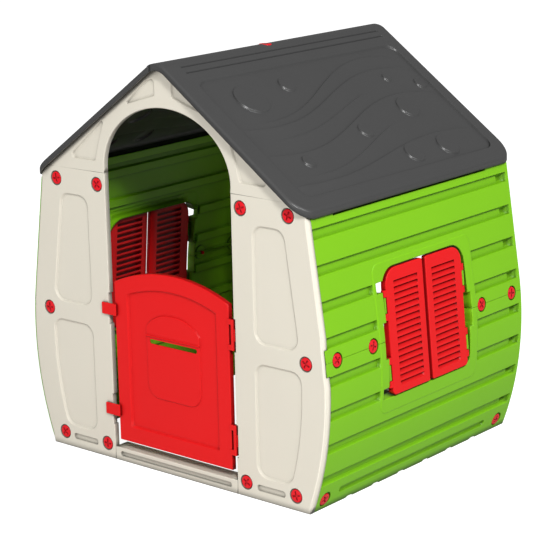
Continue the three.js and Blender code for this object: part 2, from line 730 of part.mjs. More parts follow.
// ---------- shutters ----------
// Leaf on the +Y side of the window, in window coordinates: outer face at x = 0.
function shutterLeaf() {
  const y0 = SHUTTER_GAP / 2;
  const y1 = y0 + SHUTTER_W;
  const z0 = SHUTTER_Z0 - WALL_MID_Z;
  const z1 = z0 + SHUTTER_H;
  const outline = rounded([
    [y0, z0, 4],
    [y1, z0, 12],
    [y1, z1, 40],
    [y0, z1, 7],
  ], 10);
  const thinned = cut(alongX(outline, -SHUTTER_T, 0), meetingChamfer(y0));
  const stile = 28;
  const bottomRail = 18;
  const topRail = 30;
  const slatsZ0 = z0 + bottomRail;
  const slatsZ1 = z1 - topRail;
  const pitch = (slatsZ1 - slatsZ0) / SLATS;
  const slots = Array.from({ length: SLATS }, (_, i) => {
    const z = slatsZ0 + (i + 0.5) * pitch;
    const overrun = SLOT_RISE / SHUTTER_T;
    const outer = z - overrun;
    const innerEnd = z + SLOT_RISE + overrun;
    const section = polygon([
      [-SHUTTER_T - 1, innerEnd - SLOT_HALF],
      [1, outer - SLOT_HALF],
      [1, outer + SLOT_HALF],
      [-SHUTTER_T - 1, innerEnd + SLOT_HALF],
    ]);
    return alongY(section, y0 + stile, y1 - stile - 2);
  });
  const hingeY = HINGE_Y;
  const knuckles = KNUCKLE_HEIGHTS.map((h) => {
    const barrel = rodZ(-HINGE_DEPTH, hingeY, KNUCKLE_R, h - KNUCKLE_HALF, h + KNUCKLE_HALF, 8);
    const arm = box(
      -HINGE_DEPTH - KNUCKLE_R, -HINGE_DEPTH + KNUCKLE_R,
      y1 - 1, hingeY,
      h - KNUCKLE_HALF, h + KNUCKLE_HALF,
    );
    return union(barrel, arm);
  });
  const pinLength = 7;
  const pins = KNUCKLE_HEIGHTS.map((h) => {
    const outward = Math.abs(h) > 80 ? -Math.sign(h) : Math.sign(h);
    const from = h + outward * (KNUCKLE_HALF - 1);
    const to = h + outward * (KNUCKLE_HALF + pinLength);
    return rodZ(-HINGE_DEPTH, hingeY, PIN_R, Math.min(from, to), Math.max(from, to), 6);
  });
  const reliefs = WALL_KNUCKLE_HEIGHTS.map((h) => {
    const clear = WALL_KNUCKLE_HALF + 1.2;
    const radius = KNUCKLE_R + 1;
    return rodZ(-HINGE_DEPTH, hingeY, radius, h - clear, h + clear, 8);
  });
  return union(cut(thinned, ...slots, ...reliefs), ...knuckles, ...pins);
}

// Thins the back of a leaf along the edge y0 where the two leaves meet.
function meetingChamfer(y0) {
  const edgeT = 9;
  const run = 12;
  const slope = (SHUTTER_T - edgeT) / run;
  const wedge = polygon([
    [-edgeT + slope, y0 - 1],
    [-SHUTTER_T - slope, y0 + run + 1],
    [-SHUTTER_T - slope, y0 - 1],
  ]);
  return alongZ(wedge, -SHUTTER_H, SHUTTER_H);
}

// ---------- door ----------
function doorOutline(inset) {
  const half = LEAF_HALF - inset;
  const rise = LEAF_TOP_Z - LEAF_SIDE_Z;
  const headR = (LEAF_HALF ** 2 + rise ** 2) / (2 * rise);
  const centreZ = LEAF_TOP_Z - headR;
  const head = steps(half, -half, 12).map((x) => [
    x,
    centreZ + Math.sqrt((headR - inset) ** 2 - x ** 2),
  ]);
  return [[-half, LEAF_Z0 + inset], [half, LEAF_Z0 + inset], ...head];
}

function door() {
  const faceY = FACE_Y + 2;
  const backY = faceY + DOOR_T;
  const frameWidth = 43;
  const fieldDepth = 6;
  const leaf = alongY(polygon(doorOutline(0)), faceY, backY);
  const field = alongY(polygon(doorOutline(frameWidth)), faceY - 6, faceY, {
    bevelEnabled: true,
    bevelThickness: fieldDepth,
    bevelSize: 10,
    bevelOffset: -10,
    bevelSegments: 1,
  });
  const pan = alongY(
    polygon(doorOutline(frameWidth - SKIN)), faceY - 1, faceY + fieldDepth + SKIN,
  );
  const cavity = alongY(polygon(doorOutline(SKIN)), faceY + SKIN, backY + 1);
  const floorY = faceY + fieldDepth;
  const boxMiddle = 2;
  const boxHalf = 94;
  const boxFoot = 200;
  const lidFoot = 366;
  const lidTop = 433;
  const lidFall = 38;
  const left = boxMiddle - boxHalf;
  const right = boxMiddle + boxHalf;
  const mailBody = rounded([
    [left, boxFoot, 40],
    [right, boxFoot, 40],
    [right, lidFoot, 3],
    [left, lidFoot, 3],
  ], 10);
  const lidHead = steps(right, left, 10).map((x) => {
    const share = (x - boxMiddle) / boxHalf;
    return [x, lidTop - lidFall * share ** 2];
  });
  const mailLid = polygon([[left, lidFoot], [right, lidFoot], ...lidHead]);
  const body = alongY(mailBody, floorY - 3, floorY + 1);
  const lid = alongY(mailLid, floorY - 5, floorY + 1);
  const slotHalf = 82.5;
  const letterSlot = box(
    boxMiddle - slotHalf, boxMiddle + slotHalf, faceY - 20, backY + 20, lidFoot - 18, lidFoot - 6,
  );
  let result = cut(leaf, field, cut(cavity, pan));
  result = cut(union(result, body, lid), letterSlot);

  const stile = 7;
  const armReach = 3;
  ROD_ZS.forEach((z) => {
    const rod = rodZ(ROD_X, ROD_Y, ROD_R, z - ROD_LENGTH / 2, z + ROD_LENGTH / 2);
    result = union(result, rod);
    [-1, 1].forEach((end) => {
      const outer = z + (end * ROD_LENGTH) / 2;
      const innerZ = outer - end * 15;
      const arm = box(
        LEAF_HALF - armReach, ROD_X,
        ROD_Y - ROD_R + 1, ROD_Y + ROD_R - 1,
        Math.min(outer, innerZ), Math.max(outer, innerZ),
      );
      result = union(result, arm);
    });
    const stiffener = box(
      LEAF_HALF - stile, LEAF_HALF,
      faceY, backY,
      z - ROD_LENGTH / 2, z + ROD_LENGTH / 2,
    );
    result = union(result, stiffener);
  });
  LATCH_ZS.forEach((z) => {
    const tab = rounded([[-241, z - 16], [-190, z - 16], [-190, z + 16], [-241, z + 16]], 5);
    result = union(result, alongY(tab, FACE_Y - 6.5, FACE_Y - 0.5));
    const root = box(-LEAF_HALF, -190, FACE_Y - 3, faceY + 1, z - 16, z + 16);
    result = union(result, root);
  });
  return result;
}

// Hooked clip in the jamb notch that holds a door rod from behind.
function doorClip(z) {
  const outerR = 9.6;
  const halfHeight = 16;
  const z0 = z - halfHeight;
  const z1 = z + halfHeight;
  const ring = cut(
    rodZ(ROD_X, ROD_Y, outerR, z0, z1, 14),
    rodZ(ROD_X, ROD_Y, ROD_R + 0.5, z0 - 1, z1 + 1, 14),
  );
  const clear = 20;
  const mouth = box(
    ROD_X - clear, ROD_X + clear, ROD_Y - clear, ROD_Y - 3, z0 - 1, z1 + 1,
  );
  const leafSide = box(
    ROD_X - clear, ROD_X - 2, ROD_Y - clear, ROD_Y + clear, z0 - 1, z1 + 1,
  );
  const foot = box(
    ROD_X + 2, DOOR_HALF + NOTCH_DEPTH - GAP,
    ROD_Y + ROD_R + 1, FACE_Y + WALL_T + 8,
    z0, z1,
  );
  return union(cut(ring, mouth, leafSide), foot);
}

// ---------- roof ----------
function eavePlan(inset) {
  const x = EAVE_X - inset;
  const y = ROOF_HALF_LENGTH - inset;
  const corner = EAVE_CORNER_R - inset;
  return rounded([[-x, -y, corner], [x, -y, corner], [x, y, corner], [-x, y, corner]], corner);
}

// Slab under the roof surface between two x positions.
function roofSlab(fromX, toX, depth, thickness, halfLength) {
  const top = roofLine(fromX, toX, depth);
  const under = top.map(([x, z]) => [x, z - thickness]).reverse();
  return alongY(polygon([...under, ...top]), -halfLength, halfLength);
}

function roofShell(fromX, toX) {
  const plan = alongZ(eavePlan(0), 600, 1200);
  const outer = roofSlab(fromX, toX, 0, ROOF_LIP, ROOF_HALF_LENGTH).intersect(plan);
  const innerPlan = alongZ(eavePlan(ROOF_SKIN), 600, 1200);
  const below = roofSlab(fromX - 1, toX + 1, ROOF_SKIN, 60, ROOF_HALF_LENGTH + 1);
  return cut(outer, below.intersect(innerPlan));
}

// Space taken by the turned-down rim of the roof, with clearance all round.
function roofLipClearance() {
  const clear = 1;
  const slab = roofSlab(EAVE_X - 60, EAVE_X + 2, 0, ROOF_LIP + clear, ROOF_HALF_LENGTH + 1);
  const outside = alongZ(eavePlan(ROOF_SKIN + clear), 600, 1200);
  return cut(slab, outside);
}

// Round pebbles raised on a roof panel: y along the ridge, d down the slope, radius.
const PEBBLES = [
  { y: -267, d: 182, r: 52 },
  { y: -104, d: 158, r: 26 },
  { y: 271, d: 208, r: 15 },
  { y: 378, d: 250, r: 20 },
  { y: 240, d: 322, r: 36 },
  { y: 8, d: 366, r: 24 },
  { y: 98, d: 476, r: 31 },
  { y: 248, d: 476, r: 36 },
  { y: -280, d: 420, r: 20 },
];

// Built on the right-hand slope.
function pebble({ y, d, r }) {
  const pitch = ROOF_PITCH * RAD;
  const height = 4;
  const geometry = new THREE.CylinderGeometry(r * 0.8, r, height + 1, 14);
  geometry.rotateX(Math.PI / 2);
  geometry.translate(0, 0, (height - 1) / 2);
  geometry.rotateY(pitch);
  geometry.translate(d * Math.cos(pitch), y, ROOF_PEAK - d * Math.sin(pitch));
  return solid(geometry);
}

function ridgeScrewSeat() {
  const seatZ = roofZ(0) - 4.2;
  return { tool: SCREW_TOOL.translate([0, RIDGE_SCREW_Y, seatZ]), seatZ };
}

function roofRight() {
  const shell = roofShell(RIDGE_SEAM_X, EAVE_X);
  return cut(union(shell, ...PEBBLES.map(pebble)), ridgeScrewSeat().tool);
}

function roofLeft() {
  const seam = RIDGE_SEAM_X - GAP;
  const shell = roofShell(-EAVE_X, seam);
  const rear = PEBBLES.map((p) => turnedHalf(pebble(p)));
  const tongueX = 12;
  const under = ROOF_SKIN + 0.4;
  const halfLength = HALF_DEPTH - WALL_T - 2;
  const joggle = roofSlab(seam - 12, seam, 2, 8, halfLength);
  const tongue = roofSlab(seam - 1, tongueX, under, 3.6, halfLength);
  return cut(union(shell, joggle, tongue, ...rear), ridgeScrewSeat().tool);
}

// ---------- assembly ----------
const house = new THREE.Group();
house.name = 'plastic_playhouse';

function place(name, manifold, colour, roughness = 0.45) {
  const material = new THREE.MeshStandardMaterial({ color: colour, roughness });
  const mesh = new THREE.Mesh(toGeometry(manifold), material);
  mesh.name = name;
  house.add(mesh);
}

function mirrored(manifold) {
  return manifold.mirror([1, 0, 0]);
}

place('front_right_post', openPost(), COLOURS.beige);
place('front_left_post', mirrored(closedPost()), COLOURS.beige);
place('front_gable', gable(), COLOURS.beige);
place('front_threshold', threshold(), COLOURS.beige);
place('rear_left_post', turnedHalf(openPost()), COLOURS.beige);
place('rear_right_post', turnedHalf(mirrored(closedPost())), COLOURS.beige);
place('rear_gable', turnedHalf(gable()), COLOURS.beige);
place('rear_threshold', turnedHalf(threshold()), COLOURS.beige);

[['upper', true], ['lower', false]].forEach(([level, isUpper]) => {
  const wall = sideWall(isUpper);
  place(`right_wall_${level}`, wall, COLOURS.green);
  place(`left_wall_${level}`, turnedHalf(wall), COLOURS.green);
});

place('roof_right', roofRight(), COLOURS.grey);
place('roof_left', roofLeft(), COLOURS.grey);
place('door', door(), COLOURS.red);
place('door_clip_lower', doorClip(ROD_ZS[0]), COLOURS.red);
place('door_clip_upper', doorClip(ROD_ZS[1]), COLOURS.red);

const rearLeaf = intoWindow(shutterLeaf());
const frontLeaf = intoWindow(shutterLeaf().mirror([0, 1, 0]));
place('right_shutter_rear', rearLeaf, COLOURS.brightRed);
place('right_shutter_front', frontLeaf, COLOURS.brightRed);
place('left_shutter_front', turnedHalf(rearLeaf), COLOURS.brightRed);
place('left_shutter_rear', turnedHalf(frontLeaf), COLOURS.brightRed);

[['left', -1], ['right', 1]].forEach(([side, sign]) => {
  FRONT_SCREWS.forEach(({ name, x, z }) => {
    const screw = atFront(SCREW, sign * x, z);
    place(`front_screw_${side}_${name}`, screw, COLOURS.brightRed);
    place(`rear_screw_${side}_${name}`, atFront(SCREW, -sign * x, z).rotate([0, 0, 180]),
      COLOURS.brightRed);
  });
});

SIDE_SCREWS.forEach(({ name, y, z }) => {
  const screw = atSide(SCREW, y, z);
  place(`right_screw_${name}`, screw, COLOURS.brightRed);
  place(`left_screw_${name.replace(/front|rear/, (w) => (w === 'front' ? 'rear' : 'front'))}`,
    turnedHalf(screw), COLOURS.brightRed);
});

const ridgeSeat = ridgeScrewSeat();
place('ridge_screw', SCREW.translate([0, RIDGE_SCREW_Y, ridgeSeat.seatZ]), COLOURS.brightRed);

export default house;
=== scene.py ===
import json
import math

import bmesh
import bpy
import numpy as np
from mathutils import Matrix, Vector
from mathutils.geometry import delaunay_2d_cdt


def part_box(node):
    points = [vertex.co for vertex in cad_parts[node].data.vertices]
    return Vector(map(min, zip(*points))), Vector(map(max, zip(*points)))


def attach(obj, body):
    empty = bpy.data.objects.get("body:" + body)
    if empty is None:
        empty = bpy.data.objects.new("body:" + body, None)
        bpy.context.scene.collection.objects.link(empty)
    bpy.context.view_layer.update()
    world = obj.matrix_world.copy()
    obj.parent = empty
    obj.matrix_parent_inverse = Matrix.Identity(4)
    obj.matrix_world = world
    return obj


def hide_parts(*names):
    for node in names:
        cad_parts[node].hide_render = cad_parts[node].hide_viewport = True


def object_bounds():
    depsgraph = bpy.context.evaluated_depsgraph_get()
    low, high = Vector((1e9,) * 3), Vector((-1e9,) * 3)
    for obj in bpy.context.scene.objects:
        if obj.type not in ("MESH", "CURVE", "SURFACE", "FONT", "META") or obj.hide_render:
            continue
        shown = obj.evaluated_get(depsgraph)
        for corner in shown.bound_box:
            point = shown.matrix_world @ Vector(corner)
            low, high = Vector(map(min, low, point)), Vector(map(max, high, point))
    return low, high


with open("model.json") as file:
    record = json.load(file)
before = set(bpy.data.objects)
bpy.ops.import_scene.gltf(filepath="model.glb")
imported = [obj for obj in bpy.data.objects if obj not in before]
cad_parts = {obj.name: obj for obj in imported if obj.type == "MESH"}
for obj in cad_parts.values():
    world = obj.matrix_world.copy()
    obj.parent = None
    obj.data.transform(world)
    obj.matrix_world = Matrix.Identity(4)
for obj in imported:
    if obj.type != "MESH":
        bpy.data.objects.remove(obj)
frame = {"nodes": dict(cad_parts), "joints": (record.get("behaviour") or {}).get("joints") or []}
cad_low, cad_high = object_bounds()

MM = 0.001                       # shapes below are written in millimetres


def box_mm(node):
    """Lowest and highest corner of a CAD node in millimetres."""
    low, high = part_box(node)
    return np.array(low) / MM, np.array(high) / MM


# ---------- sizes taken from the CAD nodes ----------
POST_LOW, POST_HIGH = box_mm("front_right_post")
GABLE_LOW = box_mm("front_gable")[0]
SILL_LOW, SILL_HIGH = box_mm("front_threshold")
WALL_UP_LOW, WALL_UP_HIGH = box_mm("right_wall_upper")
WALL_DOWN_HIGH = box_mm("right_wall_lower")[1]
ROOF_LOW, ROOF_HIGH = box_mm("roof_right")

FACE_Y = POST_LOW[1]             # outer face of the front wall
DOOR_HALF = POST_LOW[0]          # half width of the doorway
SEAM_Z = GABLE_LOW[2]            # joint between posts and gable
POST_TOP = POST_HIGH[2]
WALL_T = POST_HIGH[1] - POST_LOW[1]
WALL_MID_Z = (WALL_UP_LOW[2] + WALL_DOWN_HIGH[2]) / 2
WALL_TOP_Z = WALL_UP_HIGH[2]
WALL_REAR_Y = WALL_UP_HIGH[1]
EAVE_X = ROOF_HIGH[0]
ROOF_HALF_LENGTH = ROOF_HIGH[1]
ROOF_SEAM_X = ROOF_LOW[0]

# ---------- sizes shared with the CAD shapes ----------
SKIN = 2.8                       # moulded wall thickness
GAP = 0.35                       # clearance between neighbouring pieces
WIDE_X, WIDE_Z = 512.0, 316.0    # widest point of the barrel-shaped side walls
BARREL_R = 876.0
LEAN_UP, LEAN_DOWN = math.radians(8.46), math.radians(21.0)
PITCH = math.radians(35.8)       # roof
ROOF_PEAK = 1101.8
RIDGE_R = 51.0
ARCH_SPRING_Z, ARCH_TOP_Z = 800.0, 974.0
EDGE_INSET = 8.0                 # end wall edge lies this far inside the plank surface
SCREW_HEAD_R = 17.6
SCREW_SEAT_R = 20.2
SCREW_SEAT_DEPTH = 5.0


# ---------- flat outlines ----------
def offset_loop(loop, distance):
    """Closed counter-clockwise loop moved outward by distance, corners mitred."""
    ahead = np.roll(loop, -1, 0) - loop
    normal = np.column_stack([ahead[:, 1], -ahead[:, 0]])
    normal /= np.linalg.norm(ahead, axis=1)[:, None]
    before = np.roll(normal, 1, 0)
    spread = 1 + (normal * before).sum(1)
    mitre = (normal + before) / np.maximum(spread, 0.4)[:, None]
    return loop + distance * mitre


def rounded_loop(corners, turn=15.0):
    """Closed loop through (x, y, radius) corners, with a point every turn degrees of arc."""
    points = []
    count = len(corners)
    for i, (x, y, radius) in enumerate(corners):
        here = np.array([x, y], float)
        before = np.array(corners[i - 1][:2], float) - here
        after = np.array(corners[(i + 1) % count][:2], float) - here
        before /= np.linalg.norm(before)
        after /= np.linalg.norm(after)
        opening = math.acos(np.clip(before @ after, -1, 1))
        if radius <= 0 or opening > math.radians(178):
            points.append(here)
            continue
        middle = before + after
        middle /= np.linalg.norm(middle)
        centre = here + middle * radius / math.sin(opening / 2)
        start = here + before * radius / math.tan(opening / 2) - centre
        sweep = math.pi - opening
        side = before[0] * after[1] - before[1] * after[0]
        sign = -1.0 if side > 0 else 1.0
        steps = max(2, math.ceil(math.degrees(sweep) / turn))
        for k in range(steps + 1):
            angle = sign * sweep * k / steps
            c, s = math.cos(angle), math.sin(angle)
            points.append(centre + np.array([start[0] * c - start[1] * s,
                                             start[0] * s + start[1] * c]))
    return np.array(points)


def rounded_rectangle(x0, x1, y0, y1, radius):
    return rounded_loop([(x0, y0, radius), (x1, y0, radius), (x1, y1, radius), (x0, y1, radius)])


def circle_loop(centre, radius, sides=32):
    angles = np.arange(sides) * 2 * math.pi / sides
    return np.array(centre) + radius * np.column_stack([np.cos(angles), np.sin(angles)])


def densified(line, spacing, closed=True):
    """The line with extra points, so that no side is longer than spacing."""
    ends = np.roll(line, -1, 0) if closed else line[1:]
    starts = line if closed else line[:-1]
    points = []
    for a, b in zip(starts, ends):
        count = max(1, math.ceil(np.linalg.norm(b - a) / spacing))
        points.extend(a + (b - a) * k / count for k in range(count))
    if not closed:
        points.append(line[-1])
    return np.array(points)


def inside_distance(points, loop):
    """Distance from each point to a closed loop, positive inside it."""
    a, b = loop, np.roll(loop, -1, 0)
    side = b - a
    length2 = np.maximum((side ** 2).sum(1), 1e-12)
    away = points[:, None, :] - a[None, :, :]
    share = np.clip((away * side).sum(2) / length2, 0, 1)
    gap = away - share[:, :, None] * side
    nearest = np.sqrt((gap ** 2).sum(2).min(1))
    py = points[:, None, 1]
    spans = (a[None, :, 1] > py) != (b[None, :, 1] > py)
    rise = np.where(side[:, 1] == 0, 1e-12, side[:, 1])
    cross_x = a[None, :, 0] + (py - a[None, :, 1]) * side[None, :, 0] / rise
    crossings = (spans & (points[:, None, 0] < cross_x)).sum(1)
    return np.where(crossings % 2 == 1, nearest, -nearest)


def eased(distance, start, end):
    """0 before start, 1 after end, with rounded shoulders between."""
    t = np.clip((distance - start) / (end - start), 0, 1)
    return t * t * (3 - 2 * t)


# ---------- panels ----------
def bevel_profile(distance, slope, fillet):
    """0 outside, 1 beyond the slope, with both shoulders rounded by about the fillet."""
    total = slope + fillet
    t = np.clip((distance + fillet / 2) / total, 0, 1)
    shoulder = min(0.5, fillet / total)
    scale = 1 / (1 - shoulder)
    low = scale * t ** 2 / (2 * shoulder)
    middle = scale * (t - shoulder / 2)
    high = 1 - scale * (1 - t) ** 2 / (2 * shoulder)
    return np.where(t < shoulder, low, np.where(t > 1 - shoulder, high, middle))


class Panel:
    """A moulded skin with a rim, drawn flat, raised by a relief and laid on a surface.

    place(points, heights) lays flat points on the real surface. inset is the width of the
    rim wall, radius its rounding, rim its depth and skin the thickness of the sheet; radius,
    rim and skin may be functions of points.
    """

    def __init__(self, outline, place, spacing=25, rim=15, inset=SKIN, radius=1.5, skin=SKIN):
        self.outline = np.array(outline, float)
        self.place = place
        self.spacing = spacing
        self.rim = rim
        self.inset = inset
        self.radius = radius
        self.skin = skin
        self.holes = []
        self.guides = []
        self.reliefs = []
        self.back_shift = None

    def guide_loop(self, loop, distances):
        """Mesh lines that run round a loop, at distances inward from it."""
        for distance in distances:
            self.guides.append((densified(offset_loop(loop, -distance), self.spacing), True))

    def guide_line(self, *line):
        self.guides.append((densified(np.array(line, float), self.spacing, False), False))

    def sunk(self, loop, depth, slope, fillet=1.5):
        """Region whose floor lies depth below the face, with a sloping border of width slope.

        depth may be a function of points; where it is negative the region is raised.
        """
        start, end = -fillet / 2, slope + fillet / 2
        self.guide_loop(loop, [start, start + fillet / 2, start + fillet])
        self.guide_loop(loop, [end - fillet, end - fillet / 2, end])
        self.reliefs.append(
            lambda points: -value_at(depth, points)
            * bevel_profile(inside_distance(points, loop), slope, fillet))

    def screw_seat(self, x, y, hole=True):
        """Counterbore of a screw head, with the hole for its shank."""
        seat = circle_loop((x, y), SCREW_SEAT_R)
        self.sunk(seat, SCREW_SEAT_DEPTH, 0.8, 0.6)
        if hole:
            self.holes.append(circle_loop((x, y), 6.2, 12))

    def height(self, points):
        return sum((relief(points) for relief in self.reliefs), np.zeros(len(points)))


HOLE_EDGE = 0.6                  # rounding of the holes through a skin


def flat_triangles(panel, inner, holes):
    """Points and triangles of a panel's flat drawing, with holes left out."""
    points, edges = [], []

    def add(line, closed):
        first = len(points)
        points.extend(line)
        last = len(points) - 1
        edges.extend((i, i + 1) for i in range(first, last))
        if closed:
            edges.append((last, first))

    add(inner, True)
    for hole in holes:
        add(hole, True)
    fence_count = len(edges)
    for line, closed in panel.guides:
        add(line, closed)
    low, high = inner.min(0), inner.max(0)
    step = panel.spacing
    xs = np.arange(low[0] + step / 2, high[0], step)
    ys = np.arange(low[1] + step / 2, high[1], step)
    grid = np.array([(x, y) for x in xs for y in ys]).reshape(-1, 2)
    cells = set(map(tuple, np.floor(np.array(points) / (step * 0.5)).astype(int)))
    keep = [tuple(c) not in cells for c in np.floor(grid / (step * 0.5)).astype(int)]
    points.extend(grid[keep])

    made = delaunay_2d_cdt([Vector(p) for p in points], edges, [], 0, 1e-3)
    flat = np.array([tuple(v) for v in made[0]])
    fences = {tuple(sorted(side)) for side, sources in zip(made[1], made[4])
              if any(source < fence_count for source in sources)}
    triangles = np.array([tuple(f) for f in made[2]])
    a, b, c = (flat[triangles[:, k]] for k in range(3))
    area = (b[:, 0] - a[:, 0]) * (c[:, 1] - a[:, 1]) - (b[:, 1] - a[:, 1]) * (c[:, 0] - a[:, 0])
    triangles[area < 0] = triangles[area < 0][:, ::-1]
    centres = flat[triangles].mean(1)
    inside = inside_distance(centres, inner) > 0
    for hole in holes:
        inside &= inside_distance(centres, hole) < 0
    kept = []
    for patch in patches(triangles, fences):
        largest = max(patch, key=lambda i: abs(area[i]))
        if inside[largest]:
            kept += patch
    used, renumbered = np.unique(triangles[sorted(kept)], return_inverse=True)
    return flat[used], renumbered.reshape(-1, 3)


def patches(triangles, fences):
    """Groups of triangles joined across sides that aren't fences."""
    beside = {}
    for i, (a, b, c) in enumerate(triangles.tolist()):
        for side in ((a, b), (b, c), (c, a)):
            beside.setdefault(tuple(sorted(side)), []).append(i)
    neighbours = [[] for _ in triangles]
    for side, pair in beside.items():
        if side not in fences and len(pair) == 2:
            neighbours[pair[0]].append(pair[1])
            neighbours[pair[1]].append(pair[0])
    unseen = set(range(len(triangles)))
    while unseen:
        patch = [unseen.pop()]
        for i in patch:
            fresh = [j for j in neighbours[i] if j in unseen]
            unseen.difference_update(fresh)
            patch += fresh
        yield patch


def border_loops(triangles, flat):
    """Ordered vertex loops along the border, with the material on the left."""
    sides = {(t[k], t[(k + 1) % 3]) for t in triangles.tolist() for k in range(3)}
    ahead = {a: b for a, b in sorted(sides) if (b, a) not in sides}
    loops = []
    while ahead:
        start = min(ahead)
        loop, following = [start], ahead.pop(start)
        while following != start:
            loop.append(following)
            if following not in ahead:
                raise ValueError(f"the outline crosses itself near {flat[following]}")
            following = ahead.pop(following)
        loops.append(loop)
    return loops


def ring_faces(first, second):
    count = len(first)
    return [(first[i], second[i], second[(i + 1) % count], first[(i + 1) % count])
            for i in range(count)]


def panel_mesh(panel):
    """Closed shell of a panel as vertices and faces: face, skin behind it, borders and rim."""
    inner = densified(offset_loop(panel.outline, -panel.inset), panel.spacing)
    holes = [offset_loop(hole, HOLE_EDGE) for hole in panel.holes]
    flat, triangles = flat_triangles(panel, inner, holes)
    top = panel.height(flat)
    behind = flat if panel.back_shift is None else flat + panel.back_shift(flat)
    count = len(flat)
    vertices = [panel.place(flat, top), panel.place(behind, top - value_at(panel.skin, flat))]
    faces = [tuple(t) for t in triangles.tolist()]
    faces += [(c + count, b + count, a + count) for a, b, c in triangles.tolist()]
    total = 2 * count
    for loop in border_loops(triangles, flat):
        points, high = flat[loop], top[loop]
        outward = offset_loop(points, 1.0) - points
        gaps = [abs(inside_distance(points[:3], line)).max() for line in [inner, *holes]]
        outer = int(np.argmin(gaps)) == 0
        inset = panel.inset if outer else HOLE_EDGE
        radius = value_at(panel.radius, points) if outer else np.full(len(loop), HOLE_EDGE)
        depth = value_at(panel.rim, points) if outer else np.zeros(len(loop))
        rings = []
        for turn in (0, 30, 60, 90):
            angle = math.radians(turn)
            reach = inset - radius + radius * math.sin(angle)
            rings.append((points + outward * reach[:, None], high - radius * (1 - math.cos(angle))))
        if not outer:
            rings = rings[1:]
        skin = value_at(panel.skin, points)
        floor = np.minimum(high - skin, -depth)
        rings.append((points + outward * inset, floor))
        deep = outer and depth.max() > skin.max()
        if deep:
            rings.append((points, floor))
        if panel.back_shift is not None:
            rings[-1] = (rings[-1][0] + panel.back_shift(points), floor)
        previous = list(loop)
        for where, level in rings:
            vertices.append(panel.place(where, level))
            current = list(range(total, total + len(loop)))
            total += len(loop)
            faces += ring_faces(previous, current)
            previous = current
        faces += ring_faces(previous, [i + count for i in loop])
    return np.vstack(vertices), faces


def value_at(setting, points):
    return setting(points) if callable(setting) else np.full(len(points), float(setting))


# ---------- objects ----------
def new_object(name, vertices_mm, faces, material):
    mesh = bpy.data.meshes.new(name)
    mesh.from_pydata(np.asarray(vertices_mm) * MM, [], faces)
    mesh.validate()
    mesh.materials.append(material)
    mesh.shade_smooth()
    piece = bpy.data.objects.new(name, mesh)
    bpy.context.scene.collection.objects.link(piece)
    return piece


def even_normals(piece):
    """Keeps large faces flat beside the small rounded ones."""
    modifier = piece.modifiers.new("even_normals", "WEIGHTED_NORMAL")
    modifier.mode = "FACE_AREA"
    modifier.weight = 60


def stand_in(piece, node, body="house"):
    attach(piece, body)
    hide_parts(node)


MIRROR_X = np.array([-1.0, 1.0, 1.0])
MIRROR_Y = np.array([1.0, -1.0, 1.0])
HALF_TURN = np.array([-1.0, -1.0, 1.0])


def changed(mesh_data, factors):
    """The same shell mirrored or turned by sign factors for x, y and z."""
    vertices, faces = mesh_data
    if np.prod(factors) < 0:
        faces = [tuple(reversed(face)) for face in faces]
    return vertices * factors, faces


def add_shell(mesh_data, node, finish, body="house"):
    """A shell as an object that stands for a CAD node. finish is a material slot name."""
    piece = new_object("fine_" + node, *mesh_data, MATERIALS[finish])
    even_normals(piece)
    stand_in(piece, node, body)
    return piece


def joined(*parts):
    """Several closed shells as one."""
    vertices, faces, total = [], [], 0
    for points, sides in parts:
        vertices.append(points)
        faces += [tuple(i + total for i in side) for side in sides]
        total += len(points)
    return np.vstack(vertices), faces


def rounded_box(low, high, radius=1.2):
    """Box with rounded edges as a shell."""
    shape = bmesh.new()
    bmesh.ops.create_cube(shape, size=1.0)
    middle = (np.array(low, float) + np.array(high, float)) / 2
    size = np.array(high, float) - np.array(low, float)
    for vertex in shape.verts:
        vertex.co = Vector(middle + np.array(vertex.co) * size)
    bmesh.ops.bevel(shape, geom=shape.edges[:], offset=radius, segments=2, profile=0.5,
                    affect="EDGES", clamp_overlap=True)
    return shell_of(shape)


def rounded_rod(centre, radius, low, high, edge=1.0, sides=20):
    """Upright rod with rounded ends as a shell, centred on x and y of centre."""
    turns = np.arange(sides) * 2 * math.pi / sides
    profile = [(radius - edge, low), (radius - 0.3 * edge, low + 0.3 * edge), (radius, low + edge),
               (radius, high - edge), (radius - 0.3 * edge, high - 0.3 * edge),
               (radius - edge, high)]
    vertices = [(centre[0] + r * math.cos(t), centre[1] + r * math.sin(t), z)
                for r, z in profile for t in turns]
    rings = [list(range(k * sides, (k + 1) * sides)) for k in range(len(profile))]
    faces = [tuple(reversed(rings[0])), tuple(rings[-1])]
    for below, above in zip(rings, rings[1:]):
        faces += ring_faces(above, below)
    return np.array(vertices), faces


def shell_of(shape):
    shape.verts.index_update()
    vertices = np.array([tuple(v.co) for v in shape.verts])
    faces = [tuple(v.index for v in face.verts) for face in shape.faces]
    shape.free()
    return vertices, faces


# ---------- surfaces the panels lie on ----------
def on_front(points, heights):
    return np.column_stack([points[:, 0], FACE_Y - heights, points[:, 1]])


def barrel_x(z):
    """Half width of the plank surface at height z."""
    dz = np.asarray(z, float) - WIDE_Z
    top, foot = BARREL_R * math.sin(LEAN_UP), -BARREL_R * math.sin(LEAN_DOWN)
    curve = WIDE_X - BARREL_R + np.sqrt(BARREL_R ** 2 - np.clip(dz, foot, top) ** 2)
    above = np.maximum(dz - top, 0) * math.tan(LEAN_UP)
    below = np.maximum(foot - dz, 0) * math.tan(LEAN_DOWN)
    return curve - above - below


def on_wall(points, heights):
    y, z = points[:, 0], points[:, 1]
    slope = (barrel_x(z + 0.5) - barrel_x(z - 0.5))
    length = np.sqrt(1 + slope ** 2)
    return np.column_stack([barrel_x(z) + heights / length, y, z - heights * slope / length])


